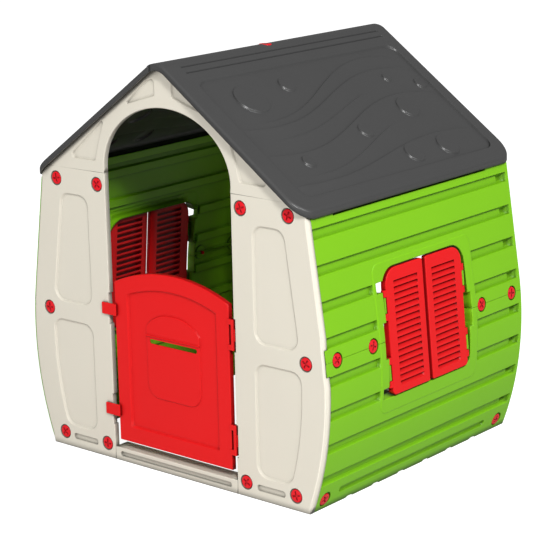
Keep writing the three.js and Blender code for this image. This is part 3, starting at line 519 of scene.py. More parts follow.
RIDGE_ARC = RIDGE_R * PITCH
RIDGE_CENTRE_Z = ROOF_PEAK - RIDGE_R / math.cos(PITCH)


def on_roof(points, heights):
    """Flat x runs along the ridge, flat y is minus the distance down the slope from the ridge."""
    down = -points[:, 1]
    arc = np.clip(down, -RIDGE_ARC, RIDGE_ARC) / RIDGE_R
    beyond = np.maximum(np.abs(down) - RIDGE_ARC, 0)
    x = RIDGE_R * np.sin(arc) + np.sign(down) * beyond * math.cos(PITCH)
    z = RIDGE_CENTRE_Z + RIDGE_R * np.cos(arc) - beyond * math.sin(PITCH)
    return np.column_stack([x, points[:, 0], z + heights])


def down_slope(x):
    """Distance down the slope from the ridge to the roof surface above x."""
    tangent_x = RIDGE_R * math.sin(PITCH)
    if abs(x) < tangent_x:
        return RIDGE_R * math.asin(x / RIDGE_R)
    return math.copysign(RIDGE_ARC + (abs(x) - tangent_x) / math.cos(PITCH), x)


def roof_z(x, depth):
    """Height of the surface lying depth below the roof's outer surface."""
    peak = ROOF_PEAK - depth / math.cos(PITCH)
    radius = RIDGE_R - depth
    if abs(x) > radius * math.sin(PITCH):
        return peak - abs(x) * math.tan(PITCH)
    return peak - radius / math.cos(PITCH) + math.sqrt(radius ** 2 - x ** 2)


# ---------- materials ----------
PAINTED_SHADE_REACH = 0.022            # metres over which the painted shade darkens a crevice
PAINTED_SHADE_TONE = 0.24              # share of the colour left under the painted shade in the deepest crevice


def plastic(name, colour, roughness, grain=0.035, speckle=0.03, gleam=0.32):
    """Moulded plastic: fine mould grain, slow tone drift, uneven gloss, painted crevice shade."""
    material = bpy.data.materials.new(name)
    material.use_nodes = True
    nodes, links = material.node_tree.nodes, material.node_tree.links
    shader = nodes["Principled BSDF"]
    shader.inputs["Specular IOR Level"].default_value = gleam
    place = nodes.new("ShaderNodeTexCoord")

    def noise(scale, detail):
        node = nodes.new("ShaderNodeTexNoise")
        node.inputs["Scale"].default_value = scale
        node.inputs["Detail"].default_value = detail
        links.new(place.outputs["Object"], node.inputs["Vector"])
        return node

    def scaled(socket, low, high):
        node = nodes.new("ShaderNodeMapRange")
        node.inputs["To Min"].default_value = low
        node.inputs["To Max"].default_value = high
        links.new(socket, node.inputs["Value"])
        return node.outputs["Result"]

    drift = noise(4.0, 3.0)
    tint = nodes.new("ShaderNodeMix")
    tint.data_type = "RGBA"
    tint.inputs["A"].default_value = (*[c * (1 - speckle) for c in colour], 1)
    tint.inputs["B"].default_value = (*[min(1, c * (1 + speckle)) for c in colour], 1)
    links.new(drift.outputs["Fac"], tint.inputs["Factor"])

    # Painted shade: ambient occlusion darkens the base colour in crevices and recesses.
    painted_shade = nodes.new("ShaderNodeAmbientOcclusion")
    painted_shade.inputs["Distance"].default_value = PAINTED_SHADE_REACH
    painted_shade_share = nodes.new("ShaderNodeMapRange")
    painted_shade_share.inputs["From Min"].default_value = 0.42
    painted_shade_share.inputs["From Max"].default_value = 0.95
    painted_shade_share.inputs["To Min"].default_value = PAINTED_SHADE_TONE
    links.new(painted_shade.outputs["AO"], painted_shade_share.inputs["Value"])
    shaded = nodes.new("ShaderNodeVectorMath")
    shaded.operation = "SCALE"
    links.new(tint.outputs["Result"], shaded.inputs["Vector"])
    links.new(painted_shade_share.outputs["Result"], shaded.inputs["Scale"])
    links.new(shaded.outputs["Vector"], shader.inputs["Base Color"])

    gloss = noise(40.0, 4.0)
    links.new(scaled(gloss.outputs["Fac"], roughness - 0.06, roughness + 0.06),
              shader.inputs["Roughness"])

    texture = noise(900.0, 2.0)
    swirl = noise(60.0, 2.0)
    both = nodes.new("ShaderNodeMath")
    both.operation = "MULTIPLY_ADD"
    both.inputs[1].default_value = 0.35
    links.new(texture.outputs["Fac"], both.inputs[0])
    links.new(swirl.outputs["Fac"], both.inputs[2])
    bump = nodes.new("ShaderNodeBump")
    bump.inputs["Strength"].default_value = grain * 4
    bump.inputs["Distance"].default_value = 0.0004
    links.new(both.outputs["Value"], bump.inputs["Height"])
    links.new(bump.outputs["Normal"], shader.inputs["Normal"])
    return material


MATERIALS = {
    "beige_plastic": plastic("beige_moulding", (0.738, 0.695, 0.592), 0.42),
    "green_plastic": plastic("green_moulding", (0.21, 0.54, 0.008), 0.40),
    "grey_plastic": plastic("grey_moulding", (0.058, 0.058, 0.058), 0.32, speckle=0.06),
    "door_red_plastic": plastic("door_red_moulding", (0.78, 0.010, 0.011), 0.36, gleam=0.2),
    "shutter_red_plastic": plastic("shutter_red_moulding", (0.78, 0.008, 0.010), 0.36,
                                   gleam=0.2),
    "screw_red_plastic": plastic("screw_red_moulding", (0.80, 0.007, 0.016), 0.34),
}


# ---------- front and rear walls ----------
FRONT_SCREWS = {
    side: [
        (box_mm(f"front_screw_{side}_{name}")[0] + box_mm(f"front_screw_{side}_{name}")[1]) / 2
        for name in ("top_outer", "top_inner", "middle", "bottom_outer", "bottom_inner")
    ]
    for side in ("left", "right")
}
FIELD_HEIGHTS = [(62, 363), (412, 715)]
FIELD_DEPTH, FIELD_SLOPE = 5.5, 5.0
HINGE_HEIGHTS = [142, 421]
NOTCH_HALF, NOTCH_DEPTH = 42.5, 4.6
TAB_HALF = 33.4                  # half height of the side wall's tab over the post rim
END_ROOF_GAP = 4.6               # roof surface down to the top of the end walls
POST_EAVE_X = 446.0
CLOSED_SIDE_INSET = 1.2          # side of a closed post inside the plank surface


def post_field(low, high):
    """Recessed field of the right-hand post; its outer side follows the barrel."""
    edge = EDGE_INSET + 70
    heights = np.linspace(low + 45, high - 45, 6)
    outer = [(float(barrel_x(z)) - edge, z, 0) for z in heights]
    return rounded_loop([
        (283, low, 34),
        (float(barrel_x(low)) - edge, low, 34),
        *outer,
        (float(barrel_x(high)) - edge, high, 32),
        (283, high, 32),
    ])


def post_side_inset(z, open_end):
    """How far the side of a post lies inside the plank surface at height z."""
    if not open_end:
        return CLOSED_SIDE_INSET
    return SKIN + GAP if abs(z - WALL_MID_Z) < TAB_HALF else 0


def post(open_end):
    """Right-hand post. With open_end the side wall's tab wraps over its rim."""
    roof_slope = math.tan(PITCH)
    top_x = POST_EAVE_X - (POST_TOP - roof_z(POST_EAVE_X, END_ROOF_GAP)) / roof_slope
    heights = [0, *np.linspace(25, 740, 24)]
    side = []
    for z in heights:
        side.append((float(barrel_x(z)) - post_side_inset(z, open_end), z))
    outline = [(DOOR_HALF, 0), *side, (POST_EAVE_X, roof_z(POST_EAVE_X, END_ROOF_GAP)),
               (top_x, POST_TOP), (DOOR_HALF, POST_TOP)]
    for z in reversed(HINGE_HEIGHTS):
        outline += [(DOOR_HALF, z + NOTCH_HALF), (DOOR_HALF + NOTCH_DEPTH, z + NOTCH_HALF),
                    (DOOR_HALF + NOTCH_DEPTH, z - NOTCH_HALF), (DOOR_HALF, z - NOTCH_HALF)]

    def rounding(points):
        near_side = barrel_x(points[:, 1]) - points[:, 0] < EDGE_INSET + 5
        near_end = (points[:, 1] < 9) | (points[:, 1] > POST_TOP - 40)
        return np.where(near_side & ~near_end, EDGE_INSET, 2.2)

    made = Panel(outline, on_front, rim=WALL_T, inset=EDGE_INSET, radius=rounding)
    for low, high in FIELD_HEIGHTS:
        made.sunk(post_field(low, high), FIELD_DEPTH, FIELD_SLOPE, 1.6)
    for centre in FRONT_SCREWS["right"]:
        made.screw_seat(centre[0], centre[2])
    made.sunk(rounded_rectangle(283, 375, 25, 42, 7), 6, 1.6, 1.0)
    return panel_mesh(made)


def arch_points(extra, count=40):
    """Doorway head from the left foot over the top to the right foot."""
    angles = np.linspace(math.pi, 0, count)
    return np.column_stack([(DOOR_HALF + extra) * np.cos(angles),
                            ARCH_SPRING_Z + (ARCH_TOP_Z - ARCH_SPRING_Z + extra) * np.sin(angles)])


def gable_fields():
    right = [
        rounded_loop([(248, 812, 9), (352, 812, 11), (206, 936, 6), (231, 870, 30)]),
        rounded_loop([(28, 1003, 6), (140, 969, 4), (60, 1040, 12), (28, 1050, 10)]),
    ]
    left = [(loop * np.array([-1, 1]))[::-1] for loop in right]
    return right + left


def gable():
    foot_x = (ROOF_PEAK - END_ROOF_GAP / math.cos(PITCH) - SEAM_Z) / math.tan(PITCH)
    ridge_xs = np.linspace(30, -30, 13)
    outline = [(foot_x, SEAM_Z), *[(x, roof_z(x, END_ROOF_GAP)) for x in ridge_xs],
               (-foot_x, SEAM_Z), (-DOOR_HALF, SEAM_Z), *arch_points(0), (DOOR_HALF, SEAM_Z)]

    def rounding(points):
        return np.where(points[:, 1] < SEAM_Z + 9, 0.8, 3.0)

    made = Panel(outline, on_front, rim=WALL_T, inset=4.0, radius=rounding)
    for field in gable_fields():
        made.sunk(field, FIELD_DEPTH, 4.0, 1.5)
    return panel_mesh(made)


def threshold():
    half_x, height = SILL_HIGH[0], SILL_HIGH[2]
    outline = [(-half_x, 0), (half_x, 0), (half_x, height), (-half_x, height)]
    made = Panel(outline, on_front, rim=SILL_HIGH[1] - SILL_LOW[1], inset=3, radius=2.0)
    made.sunk(rounded_rectangle(-198, 196, 13, 27, 5), 6.5, 1.6, 1.0)
    return panel_mesh(made)


post_open, post_closed = post(True), post(False)
gable_shell, threshold_shell = gable(), threshold()
add_shell(post_open, "front_right_post", "beige_plastic")
add_shell(changed(post_closed, MIRROR_X), "front_left_post", "beige_plastic")
add_shell(gable_shell, "front_gable", "beige_plastic")
add_shell(threshold_shell, "front_threshold", "beige_plastic")
add_shell(changed(post_open, HALF_TURN), "rear_left_post", "beige_plastic")
add_shell(changed(post_closed, MIRROR_Y), "rear_right_post", "beige_plastic")
add_shell(changed(gable_shell, HALF_TURN), "rear_gable", "beige_plastic")
add_shell(changed(threshold_shell, HALF_TURN), "rear_threshold", "beige_plastic")


# ---------- wall knuckles and window hinges ----------
WINDOW_Y, WINDOW_LOW, WINDOW_HIGH = 179.0, 247.5, 578.0
WINDOW_TOP_R, WINDOW_FOOT_R = 52.0, 28.0    # corners of the window opening
GRIP_Y, GRIP_HALF = 191.0, 46.0  # finger openings beside the closed leaves
KNUCKLE_R = 5.5
KNUCKLE_HALF, WALL_KNUCKLE_HALF = 9.0, 20.0
LEAF_KNUCKLES = [-117, -57, 57, 117]
WALL_KNUCKLES = {"upper": [87], "lower": [-87]}
HINGE_DEPTH = 6.0                # hinge axis behind the outer face of a leaf
LEAF_T = 16.0
WINDOW_HINGE = next(j for j in frame["joints"] if j["name"] == "right_shutter_rear_hinge")
HINGE_X, HINGE_Y, HINGE_Z = (v / MM for v in WINDOW_HINGE["pos_m"])
HINGE_UP = np.array(WINDOW_HINGE["axis"])
HINGE_OUT = np.cross((0, 1, 0), HINGE_UP)


def in_window(vertices):
    """From window axes (outward from the hinge axis, along Y, up the hinge) to the house."""
    vertices = np.asarray(vertices)
    start = np.array([HINGE_X, 0, HINGE_Z])
    return (start + vertices[:, :1] * HINGE_OUT + vertices[:, 1:2] * np.array([0, 1, 0])
            + vertices[:, 2:] * HINGE_UP)


def placed_in_window(shell):
    vertices, faces = shell
    return in_window(vertices), faces


def wall_knuckle(sign, height):
    """Barrel and arm of a wall hinge, on the side given by sign."""
    low, high = height - WALL_KNUCKLE_HALF, height + WALL_KNUCKLE_HALF
    barrel = rounded_rod((0, sign * HINGE_Y), KNUCKLE_R, low, high)
    ends = sorted((sign * HINGE_Y, sign * (WINDOW_Y + 2)))
    arm = rounded_box((-KNUCKLE_R, ends[0], low), (1, ends[1], high), 0.8)
    return placed_in_window(joined(barrel, arm))


# ---------- side walls ----------
GROOVE_HALF, GROOVE_DEPTH, GROOVE_SLOPE = 13.5, 9.0, 3.0
GROOVE_OFFSETS = [48, 136, 224, 312]        # groove centres above and below the joint
END_STRIP = 12.0                 # plain strip that closes the grooves at one end
OPEN_Y = POST_HIGH[1] + GAP      # end of the planks behind the post rim
TAB_Y = WALL_UP_LOW[1]
PAD_Y, PAD_LOW, PAD_HIGH = 215.0, 206.0, 598.0
CORNER_SLOT_Y = -203.0
EAVE_STEP_Z, EAVE_STEP_Y0, EAVE_STEP_Y1 = 742.0, -332.0, 323.0
EAVE_STEP_DEPTH = 17.0
SIDE_SCREW_YS = [-384, -239, 239, 384]


def arc(centre, radius, start, end, count=7):
    angles = np.radians(np.linspace(start, end, count))
    return [(centre[0] + radius * math.cos(a), centre[1] + radius * math.sin(a)) for a in angles]


def window_edge(slot_z, corner_z, direction):
    """Half of the window opening, from its -Y side round to its +Y side.

    direction is 1 for the upper half and -1 for the lower one. The groove at slot_z is open
    into the window.
    """
    radius = WINDOW_TOP_R if direction > 0 else WINDOW_FOOT_R
    inner_y = WINDOW_Y - radius
    centre_z = corner_z - direction * radius
    middle_z, grip_z = WALL_MID_Z + direction * 0.2, WALL_MID_Z + direction * GRIP_HALF
    near, far = slot_z - direction * GROOVE_HALF, slot_z + direction * GROOVE_HALF
    past_centre = math.degrees(math.asin((far - centre_z) * direction / radius))
    start, middle, end = 180 - direction * past_centre, 180 - 90 * direction, 180 - 180 * direction
    return [
        (-GRIP_Y, middle_z), (-GRIP_Y, grip_z), (-WINDOW_Y, grip_z),
        (-WINDOW_Y, near), (CORNER_SLOT_Y, near), (CORNER_SLOT_Y, far),
        *arc((-inner_y, centre_z), radius, start, middle),
        *arc((inner_y, centre_z), radius, middle, end),
        (WINDOW_Y, grip_z), (GRIP_Y, grip_z), (GRIP_Y, middle_z),
    ]


def upper_outline():
    base = WALL_UP_LOW[2]
    lip = 748.0
    return [
        (TAB_Y, base), *window_edge(WALL_MID_Z + 136, WINDOW_HIGH, 1),
        (WALL_REAR_Y, base), (WALL_REAR_Y, lip), (402, lip), (396, WALL_TOP_Z),
        (-396, WALL_TOP_Z), (-402, lip), (OPEN_Y, lip),
        (OPEN_Y, WALL_MID_Z + TAB_HALF - 0.4), (TAB_Y, WALL_MID_Z + TAB_HALF - 0.4),
    ]


def lower_outline():
    top = WALL_DOWN_HIGH[2]
    scallops = []
    for k in range(6):
        y = (k - 2.5) * 110
        scallops += [(y - 14, 0), (y - 8, 4), (y + 8, 4), (y + 14, 0)]
    window = window_edge(WALL_MID_Z - 136, WINDOW_LOW, -1)[::-1]
    return [
        (OPEN_Y, 0), *scallops, (WALL_REAR_Y, 0), (WALL_REAR_Y, top), *window,
        (TAB_Y, top), (TAB_Y, WALL_MID_Z - TAB_HALF + 0.4), (OPEN_Y, WALL_MID_Z - TAB_HALF + 0.4),
    ]


def rectangle(y0, y1, z0, z1):
    return np.array([(y0, z0), (y1, z0), (y1, z1), (y0, z1)], float)


def side_wall(upper):
    """Planked half of the right-hand wall, with its window edge."""
    sign = 1 if upper else -1

    def depth(points):
        y, z = points[:, 0], points[:, 1]
        at_window = (abs(y) < GRIP_Y + 4) & (z > WINDOW_LOW - 6) & (z < WINDOW_HIGH + 6)
        at_tab = y < OPEN_Y + 1
        return np.where(at_window, 26.0, np.where(at_tab & (abs(z - WALL_MID_Z) < 40), 0.0, 14.0))

    def rounding(points):
        y, z = points[:, 0], points[:, 1]
        at_window = (abs(y) < GRIP_Y + 4) & (z > WINDOW_LOW - 6) & (z < WINDOW_HIGH + 6)
        return np.where(at_window, 2.4, 0.9)

    outline = upper_outline() if upper else lower_outline()
    made = Panel(outline, on_wall, rim=depth, radius=rounding, spacing=22)
    end = WALL_REAR_Y - END_STRIP
    for offset in GROOVE_OFFSETS:
        z = WALL_MID_Z + sign * offset
        z0, z1 = z - GROOVE_HALF, z + GROOVE_HALF
        beside_pad = PAD_LOW - GROOVE_HALF < z < PAD_HIGH + GROOVE_HALF
        stretches = [(OPEN_Y - 30, -PAD_Y), (PAD_Y, end)] if beside_pad else [(OPEN_Y - 30, end)]
        for y0, y1 in stretches:
            made.sunk(rectangle(y0, y1, z0, z1), GROOVE_DEPTH, GROOVE_SLOPE, 1.2)
        pocket = rectangle(end - 36, end - 1, z0 + 2.5, z1 - 2.5)
        made.sunk(pocket, 8, 8, 1.5)
    pad = rounded_rectangle(-PAD_Y, PAD_Y, PAD_LOW, PAD_HIGH, 28)
    made.sunk(offset_loop(pad, -2), -1.4, 2.5, 1.2)
    for y in SIDE_SCREW_YS:
        made.screw_seat(y, WALL_MID_Z, hole=False)
    if upper:
        step = rectangle(EAVE_STEP_Y0, EAVE_STEP_Y1, EAVE_STEP_Z, WALL_TOP_Z + 20)
        made.sunk(step, EAVE_STEP_DEPTH, 1.5, 1.0)
    else:
        foot = rounded_rectangle(-332, 313, 30, 47, 8)
        made.sunk(foot, 6, 2, 1.2)
        for name in ("front_bottom", "rear_bottom"):
            low, high = box_mm("right_screw_" + name)
            made.screw_seat((low[1] + high[1]) / 2, (low[2] + high[2]) / 2)
    return panel_mesh(made)


walls = {"upper": side_wall(True), "lower": side_wall(False)}
for level, shell in walls.items():
    knuckles = [wall_knuckle(sign, z) for z in WALL_KNUCKLES[level] for sign in (-1, 1)]
    shell = joined(shell, *knuckles)
    add_shell(shell, f"right_wall_{level}", "green_plastic")
    add_shell(changed(shell, HALF_TURN), f"left_wall_{level}", "green_plastic")


# ---------- shutters ----------
LEAF_GAP = 12.0                  # between the two closed leaves
LEAF_Y0, LEAF_Y1 = LEAF_GAP / 2, HINGE_Y - 6
LEAF_Z0, LEAF_H = 250.5 - HINGE_Z, 325.0
SLATS, SLOT_HALF, SLOT_RISE = 17, 5.0, 19.5
MEETING_T, MEETING_RUN = 11.2, 12.0   # a leaf thins to this over this width, towards the other
SLOT_Y0, SLOT_Y1 = LEAF_Y0 + 25, LEAF_Y1 - 32
SLOT_Z0, SLOT_Z1 = LEAF_Z0 + 17, LEAF_Z0 + LEAF_H - 31


def on_leaf(points, heights):
    out = heights + HINGE_DEPTH
    return in_window(np.column_stack([out, points[:, 0], points[:, 1]]))


def shutter():
    """Louvred leaf on the +Y side of the right-hand window."""
    z0, z1 = LEAF_Z0, LEAF_Z0 + LEAF_H
    outline = rounded_loop([(LEAF_Y0, z0, 5), (LEAF_Y1, z0, 13), (LEAF_Y1, z1, 42),
                            (LEAF_Y0, z1, 8)])

    def thickness(points):
        """Thin along the edge where the two leaves meet, full beyond it."""
        return np.interp(points[:, 0], [LEAF_Y0 + 2, LEAF_Y0 + MEETING_RUN], [MEETING_T, LEAF_T])

    made = Panel(outline, on_leaf, spacing=30, rim=0, inset=2.2, radius=2.2, skin=thickness)
    made.guide_line((LEAF_Y0 + MEETING_RUN, z0 + 6), (LEAF_Y0 + MEETING_RUN, z1 - 9))
    pitch = (SLOT_Z1 - SLOT_Z0) / SLATS
    for k in range(SLATS):
        middle = SLOT_Z0 + (k + 0.5) * pitch
        low, high = middle - SLOT_HALF, middle + SLOT_HALF
        corner = 7 if k == 0 else 1.5
        made.holes.append(rounded_loop([
            (SLOT_Y0, low, corner), (SLOT_Y1, low, corner), (SLOT_Y1, high, 1.5),
            (SLOT_Y0, high, 1.5)], 30))

    def rise(points):
        """Carries the back of the leaf up behind the slots, and not along its border."""
        y, z = points[:, 0], points[:, 1]
        border = 3
        across = np.interp(y, [LEAF_Y0 + border, SLOT_Y0, SLOT_Y1, LEAF_Y1 - border], [0, 1, 1, 0])
        along = np.interp(z, [z0 + border, SLOT_Z0, SLOT_Z1, z1 - border], [0, 1, 1, 0])
        return np.column_stack([np.zeros(len(points)), SLOT_RISE * across * along])

    made.back_shift = rise
    parts = [panel_mesh(made)]
    for height in LEAF_KNUCKLES:
        low, high = height - KNUCKLE_HALF, height + KNUCKLE_HALF
        barrel = rounded_rod((0, HINGE_Y), KNUCKLE_R, low, high)
        arm = rounded_box((-KNUCKLE_R, LEAF_Y1 - 3, low), (KNUCKLE_R, HINGE_Y, high), 0.8)
        parts.append(placed_in_window(joined(barrel, arm)))
    return joined(*parts)


rear_leaf = shutter()
front_leaf = changed(rear_leaf, MIRROR_Y)
for node, shell in (
    ("right_shutter_rear", rear_leaf),
    ("right_shutter_front", front_leaf),
    ("left_shutter_front", changed(rear_leaf, HALF_TURN)),
    ("left_shutter_rear", changed(front_leaf, HALF_TURN)),
):
    add_shell(shell, node, "shutter_red_plastic", node + "_leaf")


# ---------- door ----------
LEAF_HALF = 199.0                # door leaf
DOOR_LOW, DOOR_SIDE_TOP, DOOR_TOP, DOOR_T = 60.0, 497.0, 541.0, 14.0
DOOR_FRAME = 43.0                # width of the border round its field
DOOR_HINGE = next(j for j in frame["joints"] if j["name"] == "door_hinge")
ROD_X, ROD_Y = (v / MM for v in DOOR_HINGE["pos_m"][:2])
ROD_R, ROD_HALF = 6.3, 41.0
LATCH_HEIGHTS = [143, 421]
LATCH_X0, LATCH_X1, LATCH_HALF = -241.0, -190.0, 16.0


def on_door(points, heights):
    return np.column_stack([points[:, 0], FACE_Y + 2 - heights, points[:, 1]])


def door_outline(inset):
    """Leaf outline with an arched head, moved inward by inset."""
    rise = DOOR_TOP - DOOR_SIDE_TOP
    head_r = (LEAF_HALF ** 2 + rise ** 2) / (2 * rise)
    centre_z = DOOR_TOP - head_r
    half = LEAF_HALF - inset
    head = [(x, centre_z + math.sqrt((head_r - inset) ** 2 - x ** 2))
            for x in np.linspace(half, -half, 21)]
    return np.array([(-half, DOOR_LOW + inset), (half, DOOR_LOW + inset), *head])


def door():
    made = Panel(door_outline(0), on_door, rim=DOOR_T, inset=SKIN, radius=2.0)
    made.sunk(door_outline(DOOR_FRAME), 6, 4.5, 1.4)
    body = rounded_loop([(-92, 200, 40), (96, 200, 40), (96, 372, 2), (-92, 372, 2)])
    made.sunk(body, -3.2, 2, 1.2)
    lid_head = [(x, 433 - 38 * abs((x - 2) / 94) ** 2.6, 0) for x in np.linspace(88, -84, 15)]
    lid = rounded_loop([(-92, 366, 2), (96, 366, 2), (96, 392, 4), *lid_head, (-92, 392, 4)])
    made.sunk(lid, -3.8, 2, 1.2)
    made.holes.append(rounded_rectangle(-80, 85, 348, 360, 5))
    parts = [panel_mesh(made)]
    for z in HINGE_HEIGHTS:
        low, high = z - ROD_HALF, z + ROD_HALF
        parts.append(rounded_rod((ROD_X, ROD_Y), ROD_R, low, high))
        for z0, z1 in ((low, low + 15), (high - 15, high)):
            parts.append(rounded_box((LEAF_HALF - 4, ROD_Y - ROD_R + 0.6, z0),
                                     (ROD_X, ROD_Y + ROD_R - 0.6, z1), 1.0))
    for z in LATCH_HEIGHTS:
        parts.append(rounded_box((LATCH_X0, FACE_Y - 6.5, z - LATCH_HALF),
                                 (LATCH_X1, FACE_Y - 0.5, z + LATCH_HALF), 2.2))
        parts.append(rounded_box((-LEAF_HALF + 0.5, FACE_Y - 4, z - 15.5),
                                 (-191, FACE_Y + 4, z + 15.5), 1.0))
    return joined(*parts)


add_shell(door(), "door", "door_red_plastic", "door_leaf")


# ---------- roof ----------
ROOF_RIM = 18.0
FIELD_D0, FIELD_D1 = 95.0, 525.0             # recessed field, down the slope
FIELD_Y0, FIELD_Y1 = -399.0, 413.0
WAVES = [
    # distance down the slope at the trough and the crest, y where it starts and ends, height
    (268, 122, -300, 372, 0.9),
    (292, 172, -385, 400, 1.0),
    (334, 232, -300, 150, 0.6),
    (390, 271, -385, 400, 1.0),
    (466, 350, -300, 150, 0.6),
    (494, 428, -405, 400, 1.0),
]
WAVE_TROUGH_Y, WAVE_CREST_Y = -262.0, 245.0
PEBBLES = [
    # y, distance down the slope, radius
    (-267, 182, 52), (-104, 158, 26), (271, 208, 15), (378, 250, 20), (240, 322, 36),
    (8, 366, 24), (98, 476, 31), (248, 476, 36), (-280, 420, 20),
]
PEBBLE_HEIGHT = 6.5
RIDGE_GROOVES = [38.0, 60.0]     # distance down the slope
RIDGE_GROOVE_HALF = 3.0
TRAY_DEPTH = 6.0


def wave_line(y, trough, crest):
    """Distance down the slope of a wave at y: a cosine between its trough and its crest."""
    phase = (y - WAVE_TROUGH_Y) / (WAVE_CREST_Y - WAVE_TROUGH_Y) * math.pi
    return (trough + crest) / 2 + (trough - crest) / 2 * np.cos(phase)


def wave_relief(points):
    """Each wave is a low step that faces up the slope and fades away below it."""
    y, down = points[:, 0], -points[:, 1]
    height = np.zeros(len(points))
    for trough, crest, start, end, size in WAVES:
        below = down - wave_line(y, trough, crest)
        fade = eased(y, start - 30, start + 60) * (1 - eased(y, end - 60, end + 20))
        height += 5.2 * size * fade * eased(below, -2.5, 2.5) * np.exp(-np.maximum(below, 0) / 32)
    return height


def roof_outline(side_start):
    """Right-hand panel: along the ridge seam, round both eave corners."""
    corner = 50.0
    half, eave = ROOF_HALF_LENGTH, EAVE_X
    rear = [(half - corner + y, x) for y, x in arc((0, eave - corner), corner, 0, 90, 10)]
    front = [(-half + corner + y, x) for y, x in arc((0, eave - corner), corner, 90, 180, 10)]
    eave_points = [(y, -down_slope(x)) for y, x in [*front[::-1], *rear[::-1]]]
    return [*eave_points, (half, side_start), (-half, side_start)]


def pebble_rise(y, down, radius):
    """Depth function of a pebble: flush at its upper rear side, highest at the opposite one."""
    def depth(points):
        lean = (0.6 * (-points[:, 1] - down) - 0.8 * (points[:, 0] - y)) / radius
        return -PEBBLE_HEIGHT * np.clip(0.5 + 0.5 * lean, 0, 1)
    return depth


def tray_depth(points):
    """Depth of the recessed field, which fades towards the eave at the front corner."""
    across = (-points[:, 1] - FIELD_D0) / (FIELD_D1 - FIELD_D0)
    along = (FIELD_Y1 - points[:, 0]) / (FIELD_Y1 - FIELD_Y0)
    return TRAY_DEPTH * (1 - 0.75 * np.clip(across + along - 1, 0, 1))


def roof_panel(ridge_x):
    seam = -down_slope(ridge_x)
    rim_inset = 7.0

    def rounding(points):
        return np.where(points[:, 1] > seam - rim_inset - 0.5, 1.5, 6.5)

    made = Panel(roof_outline(seam), on_roof, rim=ROOF_RIM, inset=rim_inset,
                 radius=rounding, skin=3.2, spacing=8)
    for down in np.linspace(-20, 36, 15):
        made.guide_line((-ROOF_HALF_LENGTH, -down), (ROOF_HALF_LENGTH, -down))
    for down in RIDGE_GROOVES:
        groove = rectangle(FIELD_Y0, FIELD_Y1, -down - RIDGE_GROOVE_HALF, -down + RIDGE_GROOVE_HALF)
        made.sunk(groove, 4.0, 1.8, 0.8)
    field = rounded_loop([
        (FIELD_Y0, -FIELD_D1, 30), (FIELD_Y1, -FIELD_D1, 34), (FIELD_Y1, -FIELD_D0, 34),
        (FIELD_Y0, -FIELD_D0, 34)])
    made.sunk(field, tray_depth, 2.6, 1.2)
    for y, down, radius in PEBBLES:
        made.sunk(circle_loop((y, -down), radius + 1, 36), pebble_rise(y, down, radius), 2.4, 1.6)
    for trough, crest, start, end, size in WAVES:
        ys = np.linspace(start - 20, end + 10, 60)
        for shift in (-2.5, -1.2, 0, 1.2, 2.5):
            made.guide_line(*zip(ys, -wave_line(ys, trough, crest) - shift))
    inner = offset_loop(field, -8)
    made.reliefs.append(
        lambda points: wave_relief(points) * eased(inside_distance(points, inner), 0, 12))
    return panel_mesh(made)


roof_shell = roof_panel(ROOF_SEAM_X)
add_shell(roof_shell, "roof_right", "grey_plastic")
add_shell(changed(roof_panel(-ROOF_SEAM_X + GAP), HALF_TURN), "roof_left", "grey_plastic")


# ---------- screws ----------
SCREW_T, SHANK_R, SHANK_LENGTH = 4.6, 5.0, 14.0
LOW_SCREW_Z = 27.0               # lowest screws of the side walls


def screw_shell():
    """Low domed head with a cross recess and a plain shank, along +Z from the seat at z 0."""
    outline = circle_loop((0, 0), SCREW_HEAD_R, 40)

    def upright(points, heights):
        return np.column_stack([points[:, 0], points[:, 1], heights + SCREW_T])

    head = Panel(outline, upright, spacing=4, rim=0, inset=2.4, radius=2.4, skin=SCREW_T)
    arm, half = 12.0, 2.4
    cross = np.array([(arm, half), (half, half), (half, arm), (-half, arm), (-half, half),
                      (-arm, half), (-arm, -half), (-half, -half), (-half, -arm), (half, -arm),
                      (half, -half), (arm, -half)], float)
    head.sunk(cross, 2.8, 0.7, 0.5)
    head.reliefs.append(lambda points: -0.9 * (points ** 2).sum(1) / SCREW_HEAD_R ** 2)
    head.skin = lambda points: SCREW_T + head.height(points)
    shank = rounded_rod((0, 0), SHANK_R, -SHANK_LENGTH, 1.0)
    return joined(panel_mesh(head), shank)


def screw_frames():
    """Node name, seat point and outward direction of every screw."""
    for node in frame["nodes"]:
        if "screw" not in node:
            continue
        low, high = box_mm(node)
        middle = (low + high) / 2
        if node.startswith(("front", "rear")):
            outward = np.array([0.0, -1.0 if node.startswith("front") else 1.0, 0.0])
            seat = middle.copy()
            seat[1] = low[1] + SCREW_T if outward[1] < 0 else high[1] - SCREW_T
        elif node == "ridge_screw":
            outward = np.array([0.0, 0.0, 1.0])
            seat = np.array([middle[0], middle[1], high[2] - SCREW_T])
        else:
            side = 1.0 if middle[0] > 0 else -1.0
            z = LOW_SCREW_Z if "bottom" in node else WALL_MID_Z
            slope = float(barrel_x(z + 0.5) - barrel_x(z - 0.5))
            outward = np.array([side, 0.0, -slope]) / math.sqrt(1 + slope ** 2)
            surface = np.array([side * float(barrel_x(z)), middle[1], z])
            seat = surface - outward * SCREW_SEAT_DEPTH
        yield node, seat, outward


screw_vertices, screw_faces = screw_shell()
for index, (node, seat, outward) in enumerate(sorted(screw_frames(), key=lambda f: f[0])):
    piece = new_object("fine_" + node, screw_vertices, screw_faces, MATERIALS["screw_red_plastic"])
    even_normals(piece)
    turn = Matrix.Rotation(index * 2.4, 4, "Z")
    aim = Vector(outward).to_track_quat("Z", "Y").to_matrix().to_4x4()
    piece.matrix_world = Matrix.Translation(Vector(seat) * MM) @ aim @ turn
    stand_in(piece, node)

for node in ("door_clip_lower", "door_clip_upper"):
    frame["nodes"][node].data.materials.clear()
    frame["nodes"][node].data.materials.append(MATERIALS["door_red_plastic"])


